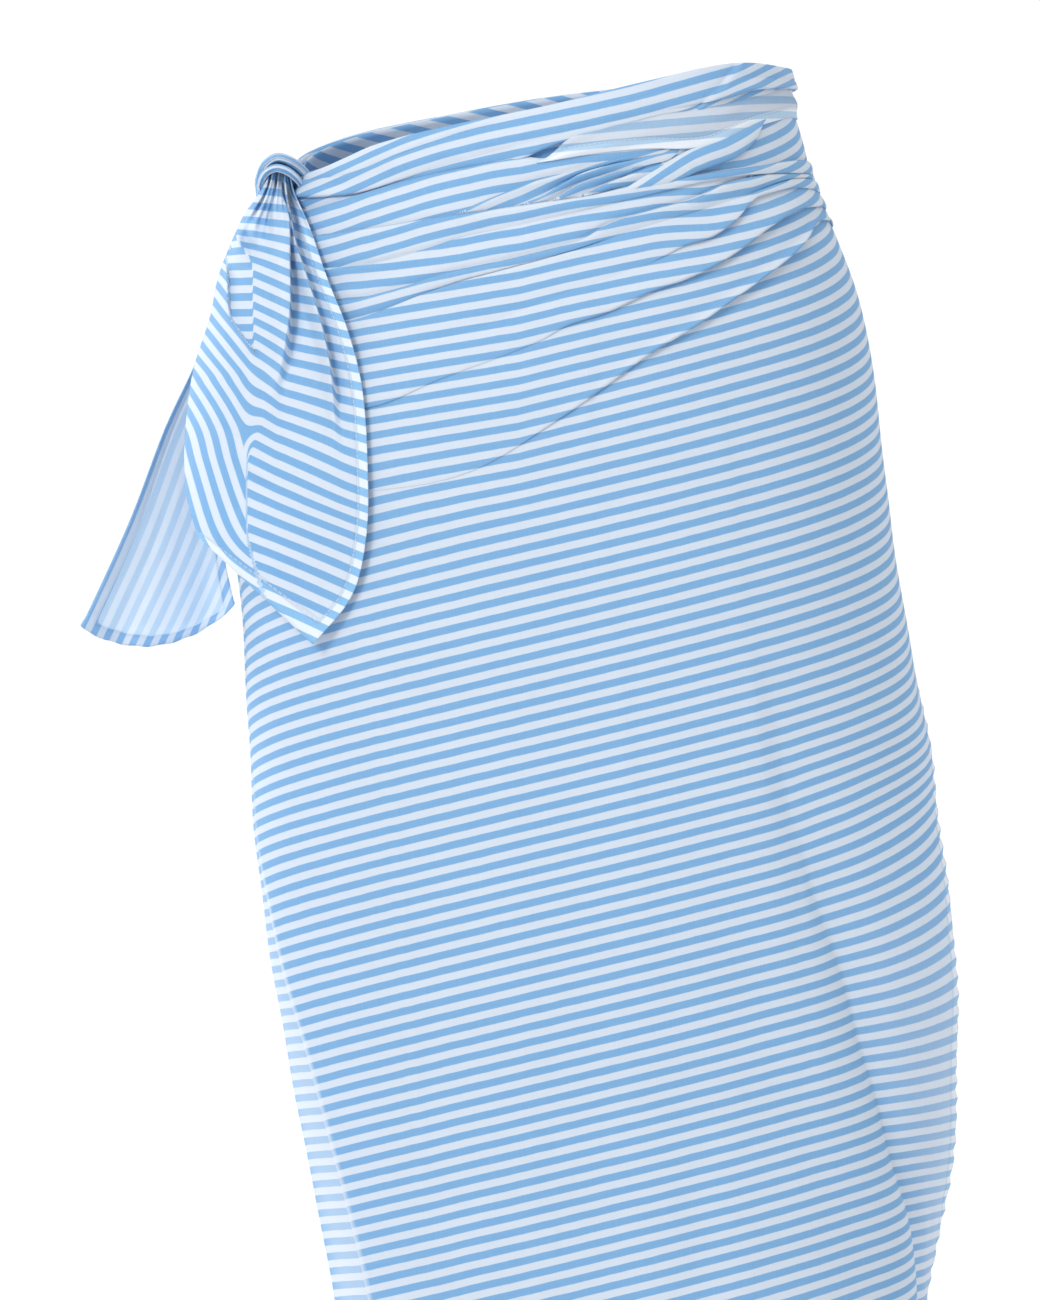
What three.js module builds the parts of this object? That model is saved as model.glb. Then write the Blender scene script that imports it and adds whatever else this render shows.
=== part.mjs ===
// A wrap skirt: one hemmed rectangle of thin cotton, wound one and a half times round the hips.
// It is gathered up at the wearer's left hip and knotted by its two top corners at the right hip.
// The skirt keeps the hollow form of a plain figure and is open at the waist and at the hem.
// Frame: millimetres, +Z up, the wearer faces -Y, +X is the wearer's left.
// The origin is in the middle of the waist opening.
import * as THREE from 'three';

// ---------- Driving dimensions, in millimetres and degrees ----------

const CLOTH = 1.3;            // wall that stands for the thin cloth
const SEAM_GAP = 0.35;        // room between two stretches that meet edge to edge
const LAYER_GAP = 0.8;        // room under a stretch that lies on another
const SIDE_SEAM = 112;        // angle where the front and inner stretches meet the back ones
const OUTER_LAYER = 3.6;      // how far the outer stretch stands out from the figure
const ROUNDNESS = 2.3;        // exponent of the sections: 2 is an ellipse, more is squarer
const HEM_LEVEL = -930;       // lower edge at the back and at the right side
const FRONT_HEM_RISE = 62;    // the outer stretch is hoisted this much towards its free side edge
const INNER_TOP_DROP = 5;     // the inner stretch ends this far below the top edge
const FRONT_TOP_DROP = 2;     // the outer stretch ends this far below the edge of the top band
const INNER_HEM_LIFT = 6;     // the inner stretch ends this far above the lower edge

// Each long wall is made in four stretches, one below the other. From and to are shares of its rows.
const STRETCHES = [
  { name: 'hips', from: 0, to: 0.54, frontRows: 20, backRows: 10, underRows: 5 },
  { name: 'thighs', from: 0.54, to: 0.745, frontRows: 8, backRows: 4, underRows: 2 },
  { name: 'knees', from: 0.745, to: 0.885, frontRows: 5, backRows: 3, underRows: 2 },
  { name: 'hem', from: 0.885, to: 1, frontRows: 5, backRows: 3, underRows: 2 },
];

// The figure that the skirt lies on, one row for each height.
const SECTIONS = [
  { z: 90, centreX: 0, centreY: 0, halfWidth: 121, halfDepth: 86 },
  { z: 60, centreX: 0, centreY: 0, halfWidth: 124, halfDepth: 89 },
  { z: 20, centreX: 1, centreY: 0, halfWidth: 133, halfDepth: 97 },
  { z: -20, centreX: 2, centreY: 2, halfWidth: 147, halfDepth: 106 },
  { z: -60, centreX: 1, centreY: 4, halfWidth: 162, halfDepth: 115 },
  { z: -100, centreX: 0, centreY: 7, halfWidth: 171, halfDepth: 121 },
  { z: -150, centreX: 0, centreY: 9, halfWidth: 177, halfDepth: 125 },
  { z: -220, centreX: 9, centreY: 8, halfWidth: 177, halfDepth: 123 },
  { z: -290, centreX: 15, centreY: 5, halfWidth: 178, halfDepth: 118 },
  { z: -360, centreX: 19, centreY: 2, halfWidth: 177, halfDepth: 114 },
  { z: -440, centreX: 25, centreY: 0, halfWidth: 172, halfDepth: 111 },
  { z: -520, centreX: 32, centreY: 0, halfWidth: 165, halfDepth: 108 },
  { z: -610, centreX: 40, centreY: 0, halfWidth: 156, halfDepth: 106 },
  { z: -720, centreX: 47, centreY: 0, halfWidth: 150, halfDepth: 105 },
  { z: -950, centreX: 55, centreY: 0, halfWidth: 146, halfDepth: 105 },
];

// Height of the top edge round the waist. Angle 0 is the front, 90 the wearer's left side.
const TOP_EDGE = [
  { angle: -95, z: 10 },
  { angle: -68, z: 14 },
  { angle: -50, z: 27 },
  { angle: -32, z: 36 },
  { angle: 0, z: 48 },
  { angle: 30, z: 61 },
  { angle: 55, z: 71 },
  { angle: 75, z: 70 },
  { angle: 110, z: 68 },
  { angle: 150, z: 63 },
  { angle: 190, z: 55 },
  { angle: 230, z: 40 },
  { angle: 265, z: 20 },
  { angle: 290, z: 10 },
];

// The standing crease at the right side, where the back stretch turns into the outer one.
const LEFT_CREASE = [
  { z: 90, angle: -84, rise: 0 },
  { z: -200, angle: -84, rise: 0.5 },
  { z: -300, angle: -82, rise: 3 },
  { z: -440, angle: -75, rise: 5 },
  { z: -610, angle: -68, rise: 6 },
  { z: -950, angle: -62, rise: 6 },
];

// The hanging crease on the wearer's left, and the free hemmed side edge beyond it.
// Flare is how far the free edge stands off the figure.
const SIDE_EDGE = [
  { z: 90, creaseAngle: 60, edgeAngle: 110, rise: 0, flare: 0 },
  { z: -180, creaseAngle: 52, edgeAngle: 108, rise: 0, flare: 0 },
  { z: -250, creaseAngle: 46, edgeAngle: 99, rise: 0.5, flare: 3 },
  { z: -300, creaseAngle: 46, edgeAngle: 88, rise: 2, flare: 8 },
  { z: -350, creaseAngle: 49, edgeAngle: 83, rise: 3, flare: 13 },
  { z: -420, creaseAngle: 57, edgeAngle: 81, rise: 4, flare: 21 },
  { z: -480, creaseAngle: 63, edgeAngle: 81, rise: 5, flare: 21 },
  { z: -530, creaseAngle: 69, edgeAngle: 84, rise: 6, flare: 18 },
  { z: -570, creaseAngle: 77, edgeAngle: 91, rise: 6, flare: 11 },
  { z: -610, creaseAngle: 82, edgeAngle: 97, rise: 6, flare: 6 },
  { z: -700, creaseAngle: 84, edgeAngle: 102, rise: 5, flare: 5 },
  { z: -950, creaseAngle: 84, edgeAngle: 104, rise: 5, flare: 7 },
];

// Pulled folds of the outer stretch, each a soft ridge through three places seen from the front.
// They fan out from the knot side and run together at the gathered hip.
const HIP_FOLDS = [
  { start: -126, startZ: -42, middle: -66, middleZ: -31, end: 60, endZ: 1, width: 9, height: 4.3 },
  { start: -119, startZ: -59, middle: -56, middleZ: -46, end: 10, endZ: -27, width: 8, height: 3.2 },
  { start: -114, startZ: -71, middle: -56, middleZ: -54, end: 96, endZ: -9, width: 10, height: 4.1 },
  { start: -107, startZ: -21, middle: -56, middleZ: -13, end: 4, endZ: 7, width: 7, height: 3.5 },
  { start: -42, startZ: -12, middle: -2, middleZ: 6, end: 34, endZ: 14, width: 6, height: 3.8 },
  { start: 22, startZ: -12, middle: 84, middleZ: -4, end: 138, endZ: 14, width: 8, height: 4.1 },
  { start: 3, startZ: -73, middle: 81, middleZ: -34, end: 111, endZ: 0, width: 10, height: 4.6 },
  { start: 8, startZ: -75, middle: 95, middleZ: -34, end: 129, endZ: -10, width: 8, height: 4.1 },
  { start: -85, startZ: -162, middle: 50, middleZ: -90, end: 146, endZ: -8, width: 9, height: 5.1 },
  { start: -102, startZ: -118, middle: -60, middleZ: -103, end: -8, endZ: -85, width: 11, height: 2.2 },
  { start: -99, startZ: -157, middle: -78, middleZ: -150, end: -50, endZ: -141, width: 10, height: 1.9 },
  { start: 152, startZ: -60, middle: 163, middleZ: -38, end: 172, endZ: -12, width: 9, height: 3.5 },
  { start: 160, startZ: -150, middle: 171, middleZ: -120, end: 182, endZ: -88, width: 13, height: 3.2 },
];

// Soft folds of the back stretch, from the knot side up to the gathered hip.
// Start, middle and end are angles.
const BACK_FOLDS = [
  { start: 262, startZ: -34, middle: 205, middleZ: -14, end: 126, endZ: 4, width: 12, height: 3.4 },
  { start: 258, startZ: -72, middle: 205, middleZ: -44, end: 122, endZ: -6, width: 13, height: 3.2 },
  { start: 240, startZ: -120, middle: 190, middleZ: -82, end: 120, endZ: -20, width: 14, height: 3.0 },
  { start: 215, startZ: -175, middle: 165, middleZ: -115, end: 120, endZ: -42, width: 15, height: 2.8 },
];

// Hanging drape folds below the hips, by angle: they grow from nothing at the hips to the hem.
const DRAPE_FOLDS = [
  { angle: -38, width: 9, height: 2.0 },
  { angle: 8, width: 12, height: 2.4 },
  { angle: 30, width: 9, height: 1.6 },
  { angle: 128, width: 9, height: 7 },
  { angle: 152, width: 8, height: 5 },
  { angle: 178, width: 10, height: 8 },
  { angle: 205, width: 8, height: 6 },
  { angle: 232, width: 10, height: 7 },
  { angle: 258, width: 7, height: 4 },
];
const DRAPE_TOP = -260;
const DRAPE_FULL = -800;

// Lower edges of the bands that are gathered along the front of the waist.
const TOP_BAND_LOW = [
  { x: -140, z: -12 },
  { x: -118, z: -7 },
  { x: -69, z: 8 },
  { x: -9, z: 21 },
  { x: 5, z: 26 },
  { x: 55, z: 40 },
  { x: 80, z: 44 },
  { x: 104, z: 49 },
  { x: 128, z: 55 },
];
const HEMMED_BAND_LOW = [
  { x: -9, z: 15 },
  { x: 20, z: 20 },
  { x: 48, z: 23 },
  { x: 79, z: 24 },
  { x: 104, z: 34 },
  { x: 130, z: 42 },
];
const CROSS_FOLD_LOW = [
  { x: 40, z: 0 },
  { x: 76, z: 10 },
  { x: 97, z: 19 },
  { x: 112, z: 31 },
  { x: 134, z: 37 },
];
const BAND_HEIGHT = 30;        // level at which a band's lines are read
const BAND_STEP = 6;           // degrees between the columns of a band
const BAND_SWELL = 2.6;        // how far the middle of a band stands out
const BAND_FOLD_PITCH = 9;     // distance between the small gathers in a band
const BAND_FOLD_HEIGHT = 0.9;

// The gathered band that runs round the back, from the hip to the knot.
const BACK_BAND = [
  { angle: 112, low: -6, swell: 3.2 },
  { angle: 150, low: -2, swell: 3.6 },
  { angle: 200, low: 4, swell: 4.0 },
  { angle: 240, low: -2, swell: 4.4 },
  { angle: 262, low: -6, swell: 4.2 },
  { angle: 268, low: -2, swell: 3.0 },
];

const BACK_BAND_END = 267;
const BACK_BAND_GATHERS = 4;
const GATHER_HEIGHT = 1.2;

// The knot, squeezed between the wall and the two hanging ends.
const KNOT = { y: -22, z: 13, outwards: 11, along: 22, upwards: 13, turns: 4, groove: 1.1 };

// The front end of the knot: its left and right edges, and how far each stands off the figure.
const FRONT_TAIL = [
  { t: 0, leftX: -162, leftZ: 0.5, rightX: -143, rightZ: 0.5, leftOut: 26, rightOut: 11 },
  { t: 0.12, leftX: -176, leftZ: -18, rightX: -134, rightZ: -20, leftOut: 29, rightOut: 10 },
  { t: 0.25, leftX: -184, leftZ: -38, rightX: -124, rightZ: -48, leftOut: 29, rightOut: 10 },
  { t: 0.4, leftX: -189, leftZ: -66, rightX: -113, rightZ: -76, leftOut: 26, rightOut: 10 },
  { t: 0.55, leftX: -199, leftZ: -98, rightX: -105, rightZ: -108, leftOut: 28, rightOut: 9 },
  { t: 0.7, leftX: -203, leftZ: -135, rightX: -102, rightZ: -150, leftOut: 28, rightOut: 9 },
  { t: 0.85, leftX: -202, leftZ: -163, rightX: -103, rightZ: -190, leftOut: 31, rightOut: 9 },
  { t: 0.93, leftX: -199, leftZ: -176, rightX: -111, rightZ: -221, leftOut: 34, rightOut: 10 },
  { t: 1, leftX: -195, leftZ: -188, rightX: -132, rightZ: -247, leftOut: 36, rightOut: 14 },
];

// Folds of the front end that run down from the knot, by their place across it.
const TAIL_FOLDS = [
  { topAcross: 0.84, endAcross: 0.95, width: 0.055, height: 4.5, fade: 0.75 },
  { topAcross: 0.62, endAcross: 0.72, width: 0.07, height: 5.5, fade: 0.7 },
  { topAcross: 0.35, endAcross: 0.5, width: 0.09, height: 3.5, fade: 0.5 },
  { topAcross: 0.12, endAcross: 0.2, width: 0.07, height: 4.0, fade: 0.65 },
];

// The back end of the knot hangs free behind the front one.
const BACK_TAIL = [
  { t: 0, leftX: -153, leftY: 0.95, leftZ: 19, rightX: -147, rightY: 0.95, rightZ: 7 },
  { t: 0.2, leftX: -178, leftY: 14, leftZ: -33, rightX: -166, rightY: 42, rightZ: -38 },
  { t: 0.4, leftX: -193, leftY: 21, leftZ: -84, rightX: -180, rightY: 62, rightZ: -92 },
  { t: 0.6, leftX: -208, leftY: 25, leftZ: -128, rightX: -186, rightY: 74, rightZ: -140 },
  { t: 0.8, leftX: -227, leftY: 29, leftZ: -180, rightX: -184, rightY: 82, rightZ: -190 },
  { t: 1, leftX: -261, leftY: 32, leftZ: -238, rightX: -175, rightY: 86, rightZ: -228 },
];
const BACK_TAIL_HEM_SAG = 10;
const BACK_TAIL_CURL = 9;

const STRIPED_BLUE = 0x9cc3ee;
const STRIPED_PALE = 0xc9dcf2;

// ---------- Small tools ----------

const clamp = (value, low, high) => Math.min(high, Math.max(low, value));
const mix = (a, b, t) => a + (b - a) * t;

function smoothStep(low, high, value) {
  const t = clamp((value - low) / (high - low), 0, 1);
  return t * t * (3 - 2 * t);
}

// Reads one column of a table as a smooth curve through its rows.
function readTable(rows, key, column, value) {
  const rising = rows[1][key] > rows[0][key];
  const last = rows.length - 1;
  let i = 0;
  const isPast = (row) => (rising ? value > row[key] : value < row[key]);
  while (i < last - 1 && isPast(rows[i + 1])) i += 1;
  const slopeAt = (k) => {
    const before = rows[Math.max(0, k - 1)];
    const after = rows[Math.min(last, k + 1)];
    return (after[column] - before[column]) / (after[key] - before[key]);
  };
  const span = rows[i + 1][key] - rows[i][key];
  const t = clamp((value - rows[i][key]) / span, 0, 1);
  const startSlope = slopeAt(i) * span;
  const endSlope = slopeAt(i + 1) * span;
  const a = rows[i][column];
  const b = rows[i + 1][column];
  const t2 = t * t;
  const t3 = t2 * t;
  const bend = startSlope * (t3 - 2 * t2 + t) + endSlope * (t3 - t2);
  return a * (2 * t3 - 3 * t2 + 1) + b * (3 * t2 - 2 * t3) + bend;
}

// A smooth hump of height 1 at 0 that ends at -1 and 1.
const hump = (t) => (Math.abs(t) < 1 ? (1 - t * t) ** 2 : 0);

// ---------- The figure ----------

function sectionAt(z) {
  return {
    centreX: readTable(SECTIONS, 'z', 'centreX', z),
    centreY: readTable(SECTIONS, 'z', 'centreY', z),
    halfWidth: readTable(SECTIONS, 'z', 'halfWidth', z),
    halfDepth: readTable(SECTIONS, 'z', 'halfDepth', z),
  };
}

// Radius of the section in a direction, for a section grown by the distance out.
function sectionRadius(section, radians, out) {
  const across = Math.abs(Math.sin(radians)) / (section.halfWidth + out);
  const through = Math.abs(Math.cos(radians)) / (section.halfDepth + out);
  return (across ** ROUNDNESS + through ** ROUNDNESS) ** (-1 / ROUNDNESS);
}

function figurePoint(angle, z, out) {
  const section = sectionAt(z);
  const radians = THREE.MathUtils.degToRad(angle);
  const radius = sectionRadius(section, radians, out);
  const x = section.centreX + radius * Math.sin(radians);
  const y = section.centreY - radius * Math.cos(radians);
  return new THREE.Vector3(x, y, z);
}

// The angle on the front half at which a point seen from the front lies.
function frontAngle(x, z, out) {
  const section = sectionAt(z);
  const side = clamp((x - section.centreX) / (section.halfWidth + out), -0.9999, 0.9999);
  const depth = (section.halfDepth + out) * (1 - Math.abs(side) ** ROUNDNESS) ** (1 / ROUNDNESS);
  return THREE.MathUtils.radToDeg(Math.atan2(x - section.centreX, depth));
}

// ---------- Folds ----------

// Height of a line through three places, and how strongly it shows there (0 at its ends).
function lineThrough(fold, place) {
  const { start, middle, end } = fold;
  const low = Math.min(start, end);
  const high = Math.max(start, end);
  const p = clamp(place, low, high);
  const a = ((p - middle) * (p - end)) / ((start - middle) * (start - end));
  const b = ((p - start) * (p - end)) / ((middle - start) * (middle - end));
  const c = ((p - start) * (p - middle)) / ((end - start) * (end - middle));
  const z = a * fold.startZ + b * fold.middleZ + c * fold.endZ;
  const reach = (high - low) * 0.22;
  const rising = smoothStep(low - reach * 0.3, low + reach, place);
  const strength = rising * (1 - smoothStep(high - reach, high + reach * 0.3, place));
  return { z, strength };
}

function hipFoldRise(angle, z) {
  const x = figurePoint(clamp(angle, -90, 90), z, OUTER_LAYER).x + Math.max(0, angle - 90) * 0.6;
  let rise = 0;
  for (const fold of HIP_FOLDS) {
    const line = lineThrough(fold, x);
    rise = Math.max(rise, line.strength * fold.height * hump((z - line.z) / fold.width));
  }
  return rise;
}

function backFoldRise(angle, z) {
  let rise = 0;
  for (const fold of BACK_FOLDS) {
    const line = lineThrough(fold, angle);
    rise = Math.max(rise, line.strength * fold.height * hump((z - line.z) / fold.width));
  }
  return rise;
}

function drapeRise(angle, z) {
  const growth = smoothStep(-DRAPE_TOP, -DRAPE_FULL, -z);
  let rise = 0;
  for (const fold of DRAPE_FOLDS) {
    rise += fold.height * hump((angle - fold.angle) / (fold.width * (1 + growth * 0.3)));
  }
  return rise * growth;
}

// A standing crease: sharp at its line, fading within the reach on both sides.
const creaseShape = (distance, reach) => Math.max(0, 1 - Math.abs(distance) / reach) ** 1.6;

function leftCreaseRise(angle, z) {
  const crease = readTable(LEFT_CREASE, 'z', 'angle', z);
  return readTable(LEFT_CREASE, 'z', 'rise', z) * creaseShape(angle - crease, 20);
}

function sideEdgeRise(angle, z) {
  const crease = readTable(SIDE_EDGE, 'z', 'creaseAngle', z);
  const edge = readTable(SIDE_EDGE, 'z', 'edgeAngle', z);
  const beyond = clamp((angle - crease) / (edge - crease), 0, 1);
  const flare = readTable(SIDE_EDGE, 'z', 'flare', z) * beyond ** 1.2;
  return flare + readTable(SIDE_EDGE, 'z', 'rise', z) * creaseShape(angle - crease, 16);
}

// ---------- Edges ----------

const topEdge = (angle) => readTable(TOP_EDGE, 'angle', 'z', angle);

function frontHem(angle) {
  const left = LEFT_CREASE[LEFT_CREASE.length - 1].angle;
  const right = SIDE_EDGE[SIDE_EDGE.length - 1].edgeAngle;
  return HEM_LEVEL + FRONT_HEM_RISE * clamp((angle - left) / (right - left), 0, 1);
}

// True height below which no band covers the outer stretch.
function bandCover(angle) {
  const x = figurePoint(clamp(angle, -90, 90), 20, OUTER_LAYER).x;
  const low = x < -9 ? readTable(TOP_BAND_LOW, 'x', 'z', x) : readTable(HEMMED_BAND_LOW, 'x', 'z', x);
  return x > 40 ? Math.min(low, readTable(CROSS_FOLD_LOW, 'x', 'z', x)) : low;
}

// ---------- Walls ----------

// A closed wall from a grid of places: pointAt(u, v, depth) gives its skins, depth 0 inside and 1 outside.
function wallGeometry(columns, rows, pointAt) {
  const positions = [];
  const wide = columns + 1;
  const skin = wide * (rows + 1);
  for (const depth of [0, 1]) {
    for (let j = 0; j <= rows; j += 1) {
      for (let i = 0; i <= columns; i += 1) {
        positions.push(...pointAt(i / columns, j / rows, depth).toArray());
      }
    }
  }
  const indices = [];
  const quad = (a, b, c, d) => indices.push(a, b, c, a, c, d);
  for (let j = 0; j < rows; j += 1) {
    for (let i = 0; i < columns; i += 1) {
      const k = j * wide + i;
      quad(skin + k, skin + k + wide, skin + k + wide + 1, skin + k + 1);
      quad(k, k + 1, k + wide + 1, k + wide);
    }
  }
  const rim = [];
  for (let i = 0; i < columns; i += 1) rim.push(i);
  for (let j = 0; j < rows; j += 1) rim.push(j * wide + columns);
  for (let i = columns; i > 0; i -= 1) rim.push(rows * wide + i);
  for (let j = rows; j > 0; j -= 1) rim.push(j * wide);
  rim.forEach((k, n) => {
    const next = rim[(n + 1) % rim.length];
    quad(k, k + skin, next + skin, next);
  });
  const geometry = new THREE.BufferGeometry();
  geometry.setAttribute('position', new THREE.Float32BufferAttribute(positions, 3));
  geometry.setIndex(indices);
  geometry.computeVertexNormals();
  return geometry;
}

function addMesh(group, name, geometry, colour) {
  const material = new THREE.MeshStandardMaterial({ color: colour, roughness: 0.85, metalness: 0 });
  material.side = THREE.DoubleSide;
  const mesh = new THREE.Mesh(geometry, material);
  mesh.name = name;
  group.add(mesh);
}

// Rows lie closer together in the gathered part than in the hanging part.
function rowSpacing(stretch, v) {
  const share = mix(stretch.from, stretch.to, v);
  return 0.26 * share + 0.74 * share ** 3;
}

// A stretch starts this far below the one above it.
const seamDrop = (stretch, v) => (v === 0 && stretch.from > 0 ? SEAM_GAP : 0);

// ---------- The stretches of the cloth ----------

function frontWrap(stretch) {
  return wallGeometry(44, stretch.frontRows, (u, v, depth) => {
    const along = rowSpacing(stretch, v);
    const guess = mix(topEdge(mix(-84, 110, u)) - FRONT_TOP_DROP, HEM_LEVEL, along);
    const left = readTable(LEFT_CREASE, 'z', 'angle', guess);
    const right = readTable(SIDE_EDGE, 'z', 'edgeAngle', guess);
    const angle = mix(left, right, u);
    const z = mix(topEdge(angle) - FRONT_TOP_DROP, frontHem(angle), along) - seamDrop(stretch, v);
    const bare = smoothStep(-8, 0, bandCover(angle) - z - 6);
    const folds = hipFoldRise(angle, z) * bare + drapeRise(angle, z);
    const out = OUTER_LAYER + folds + leftCreaseRise(angle, z) + sideEdgeRise(angle, z);
    return figurePoint(angle, z, out + CLOTH * depth);
  });
}

function backWrap(stretch) {
  const seam = 0.25;
  return wallGeometry(38, stretch.backRows, (u, v, depth) => {
    const along = rowSpacing(stretch, v);
    const guess = mix(topEdge(mix(SIDE_SEAM, 276, u)), HEM_LEVEL, along);
    const end = 360 + readTable(LEFT_CREASE, 'z', 'angle', guess) - seam;
    const angle = mix(SIDE_SEAM, end, u);
    const z = mix(topEdge(angle), HEM_LEVEL, along) - seamDrop(stretch, v);
    const layer = mix(0, OUTER_LAYER, smoothStep(200, 272, angle));
    const folds = backFoldRise(angle, z) * smoothStep(0, 10, -12 - z) + drapeRise(angle, z);
    return figurePoint(angle, z, layer + folds + leftCreaseRise(angle - 360, z) + CLOTH * depth);
  });
}

function underWrap(stretch) {
  return wallGeometry(24, stretch.underRows, (u, v, depth) => {
    const along = rowSpacing(stretch, v);
    const angle = mix(-58, SIDE_SEAM - 0.3, u);
    const z = mix(topEdge(angle) - INNER_TOP_DROP, HEM_LEVEL + INNER_HEM_LIFT, along);
    return figurePoint(angle, z - seamDrop(stretch, v), CLOTH * depth);
  });
}

// A band on the front of the waist, between two lines seen from the front.
function frontBand(columns, rows, upper, lower) {
  const toAngle = SIDE_SEAM - 0.2;
  const fromAngle = toAngle - columns * BAND_STEP;
  return wallGeometry(columns, rows, (u, v, depth) => {
    const angle = mix(fromAngle, toAngle, u);
    const x = figurePoint(Math.min(angle, 90), BAND_HEIGHT, OUTER_LAYER).x;
    const high = upper(angle, x);
    const low = lower(angle, x);
    const z = mix(high, low, v);
    const gathers = 0.5 - 0.5 * Math.cos((2 * Math.PI * v * (high - low)) / BAND_FOLD_PITCH);
    const swell = BAND_SWELL * Math.sin(Math.PI * mix(0.2, 1, v)) ** 0.8 + BAND_FOLD_HEIGHT * gathers;
    const out = OUTER_LAYER + CLOTH + LAYER_GAP + swell * depth;
    return figurePoint(angle, z, out + CLOTH * depth);
  });
}

const topBandLow = (angle, x) => readTable(TOP_BAND_LOW, 'x', 'z', x);
const hemmedBandLow = (angle, x) => readTable(HEMMED_BAND_LOW, 'x', 'z', x);
const crossFoldLow = (angle, x) => readTable(CROSS_FOLD_LOW, 'x', 'z', x);
const belowSeam = (line) => (angle, x) => line(angle, x) - SEAM_GAP;

function topBand() {
  return frontBand(30, 6, topEdge, topBandLow);
}

function hemmedBand() {
  return frontBand(19, 4, belowSeam(topBandLow), hemmedBandLow);
}

function crossFold() {
  return frontBand(14, 4, belowSeam(hemmedBandLow), crossFoldLow);
}

function backBand() {
  return wallGeometry(28, 8, (u, v, depth) => {
    const angle = mix(SIDE_SEAM + 0.2, BACK_BAND_END, u);
    const low = readTable(BACK_BAND, 'angle', 'low', angle);
    const high = topEdge(angle) - 1;
    const z = mix(high, low, v);
    const layer = mix(0, OUTER_LAYER, smoothStep(200, 272, angle));
    const gathers = 0.5 - 0.5 * Math.cos(2 * Math.PI * v * BACK_BAND_GATHERS);
    const swell = readTable(BACK_BAND, 'angle', 'swell', angle) * Math.sin(Math.PI * mix(0.12, 0.95, v));
    const out = layer + CLOTH + LAYER_GAP + (swell + GATHER_HEIGHT * gathers) * depth;
    return figurePoint(angle, z, out + CLOTH * depth);
  });
}

// ---------- The knot and its two ends ----------

function knot() {
  const section = sectionAt(KNOT.z);
  const through = Math.abs(KNOT.y - section.centreY) / (section.halfDepth + OUTER_LAYER + CLOTH);
  const wallX = (section.halfWidth + OUTER_LAYER + CLOTH) * (1 - through ** ROUNDNESS) ** (1 / ROUNDNESS);
  const centreX = section.centreX - wallX - KNOT.outwards - KNOT.groove - LAYER_GAP;
  const geometry = new THREE.SphereGeometry(1, 20, 14);
  geometry.rotateX(Math.PI / 2);
  const position = geometry.attributes.position;
  for (let i = 0; i < position.count; i += 1) {
    const point = new THREE.Vector3().fromBufferAttribute(position, i);
    const ridge = KNOT.groove * Math.cos(KNOT.turns * Math.PI * point.y) * (1 - point.y * point.y);
    const x = centreX + point.x * (KNOT.outwards + ridge);
    const y = KNOT.y + point.y * KNOT.along;
    const z = KNOT.z + point.z * (KNOT.upwards + ridge);
    position.setXYZ(i, x, y, z);
  }
  return geometry;
}

function tailFoldRise(across, down) {
  let rise = 0;
  for (const fold of TAIL_FOLDS) {
    const line = mix(fold.topAcross, fold.endAcross, down);
    const strength = smoothStep(0, 0.12, down) * (1 - smoothStep(fold.fade, fold.fade + 0.3, down));
    rise = Math.max(rise, strength * fold.height * hump((across - line) / fold.width));
  }
  return rise;
}

function frontTail() {
  return wallGeometry(16, 16, (u, v, depth) => {
    const row = (column) => readTable(FRONT_TAIL, 't', column, v);
    const x = mix(row('leftX'), row('rightX'), u);
    const z = mix(row('leftZ'), row('rightZ'), u);
    const stand = mix(row('leftOut'), row('rightOut'), smoothStep(0, 1, u)) + tailFoldRise(u, v);
    return figurePoint(frontAngle(x, z, stand), z, stand + CLOTH * depth);
  });
}

function backTail() {
  const middleAt = (u, v) => {
    const row = (column) => readTable(BACK_TAIL, 't', column, v);
    const bow = Math.sin(Math.PI * u);
    const wave = Math.sin(3 * Math.PI * u) * BACK_TAIL_CURL * 0.4 * v;
    return new THREE.Vector3(
      mix(row('leftX'), row('rightX'), u) - bow * 3 * v,
      mix(row('leftY'), row('rightY'), u) + bow * BACK_TAIL_CURL * v + wave,
      mix(row('leftZ'), row('rightZ'), u) - bow * BACK_TAIL_HEM_SAG * v ** 3,
    );
  };
  const step = 0.01;
  return wallGeometry(10, 12, (u, v, depth) => {
    const middle = middleAt(u, v);
    const across = middleAt(Math.min(1, u + step), v).sub(middleAt(Math.max(0, u - step), v));
    const down = middleAt(u, Math.min(1, v + step)).sub(middleAt(u, Math.max(0, v - step)));
    const outwards = down.cross(across).normalize();
    return middle.addScaledVector(outwards, CLOTH * (depth - 0.5));
  });
}

// ---------- The skirt ----------

const skirt = new THREE.Group();
for (const stretch of STRETCHES) {
  addMesh(skirt, `front_wrap_${stretch.name}`, frontWrap(stretch), STRIPED_BLUE);
  addMesh(skirt, `back_wrap_${stretch.name}`, backWrap(stretch), STRIPED_BLUE);
  addMesh(skirt, `under_wrap_${stretch.name}`, underWrap(stretch), STRIPED_BLUE);
}
addMesh(skirt, 'top_band', topBand(), STRIPED_BLUE);
addMesh(skirt, 'hemmed_band', hemmedBand(), STRIPED_PALE);
addMesh(skirt, 'cross_fold', crossFold(), STRIPED_BLUE);
addMesh(skirt, 'back_band', backBand(), STRIPED_BLUE);
addMesh(skirt, 'knot', knot(), STRIPED_BLUE);
addMesh(skirt, 'front_tail', frontTail(), STRIPED_BLUE);
addMesh(skirt, 'back_tail', backTail(), STRIPED_PALE);

export default skirt;
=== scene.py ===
import math

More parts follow.
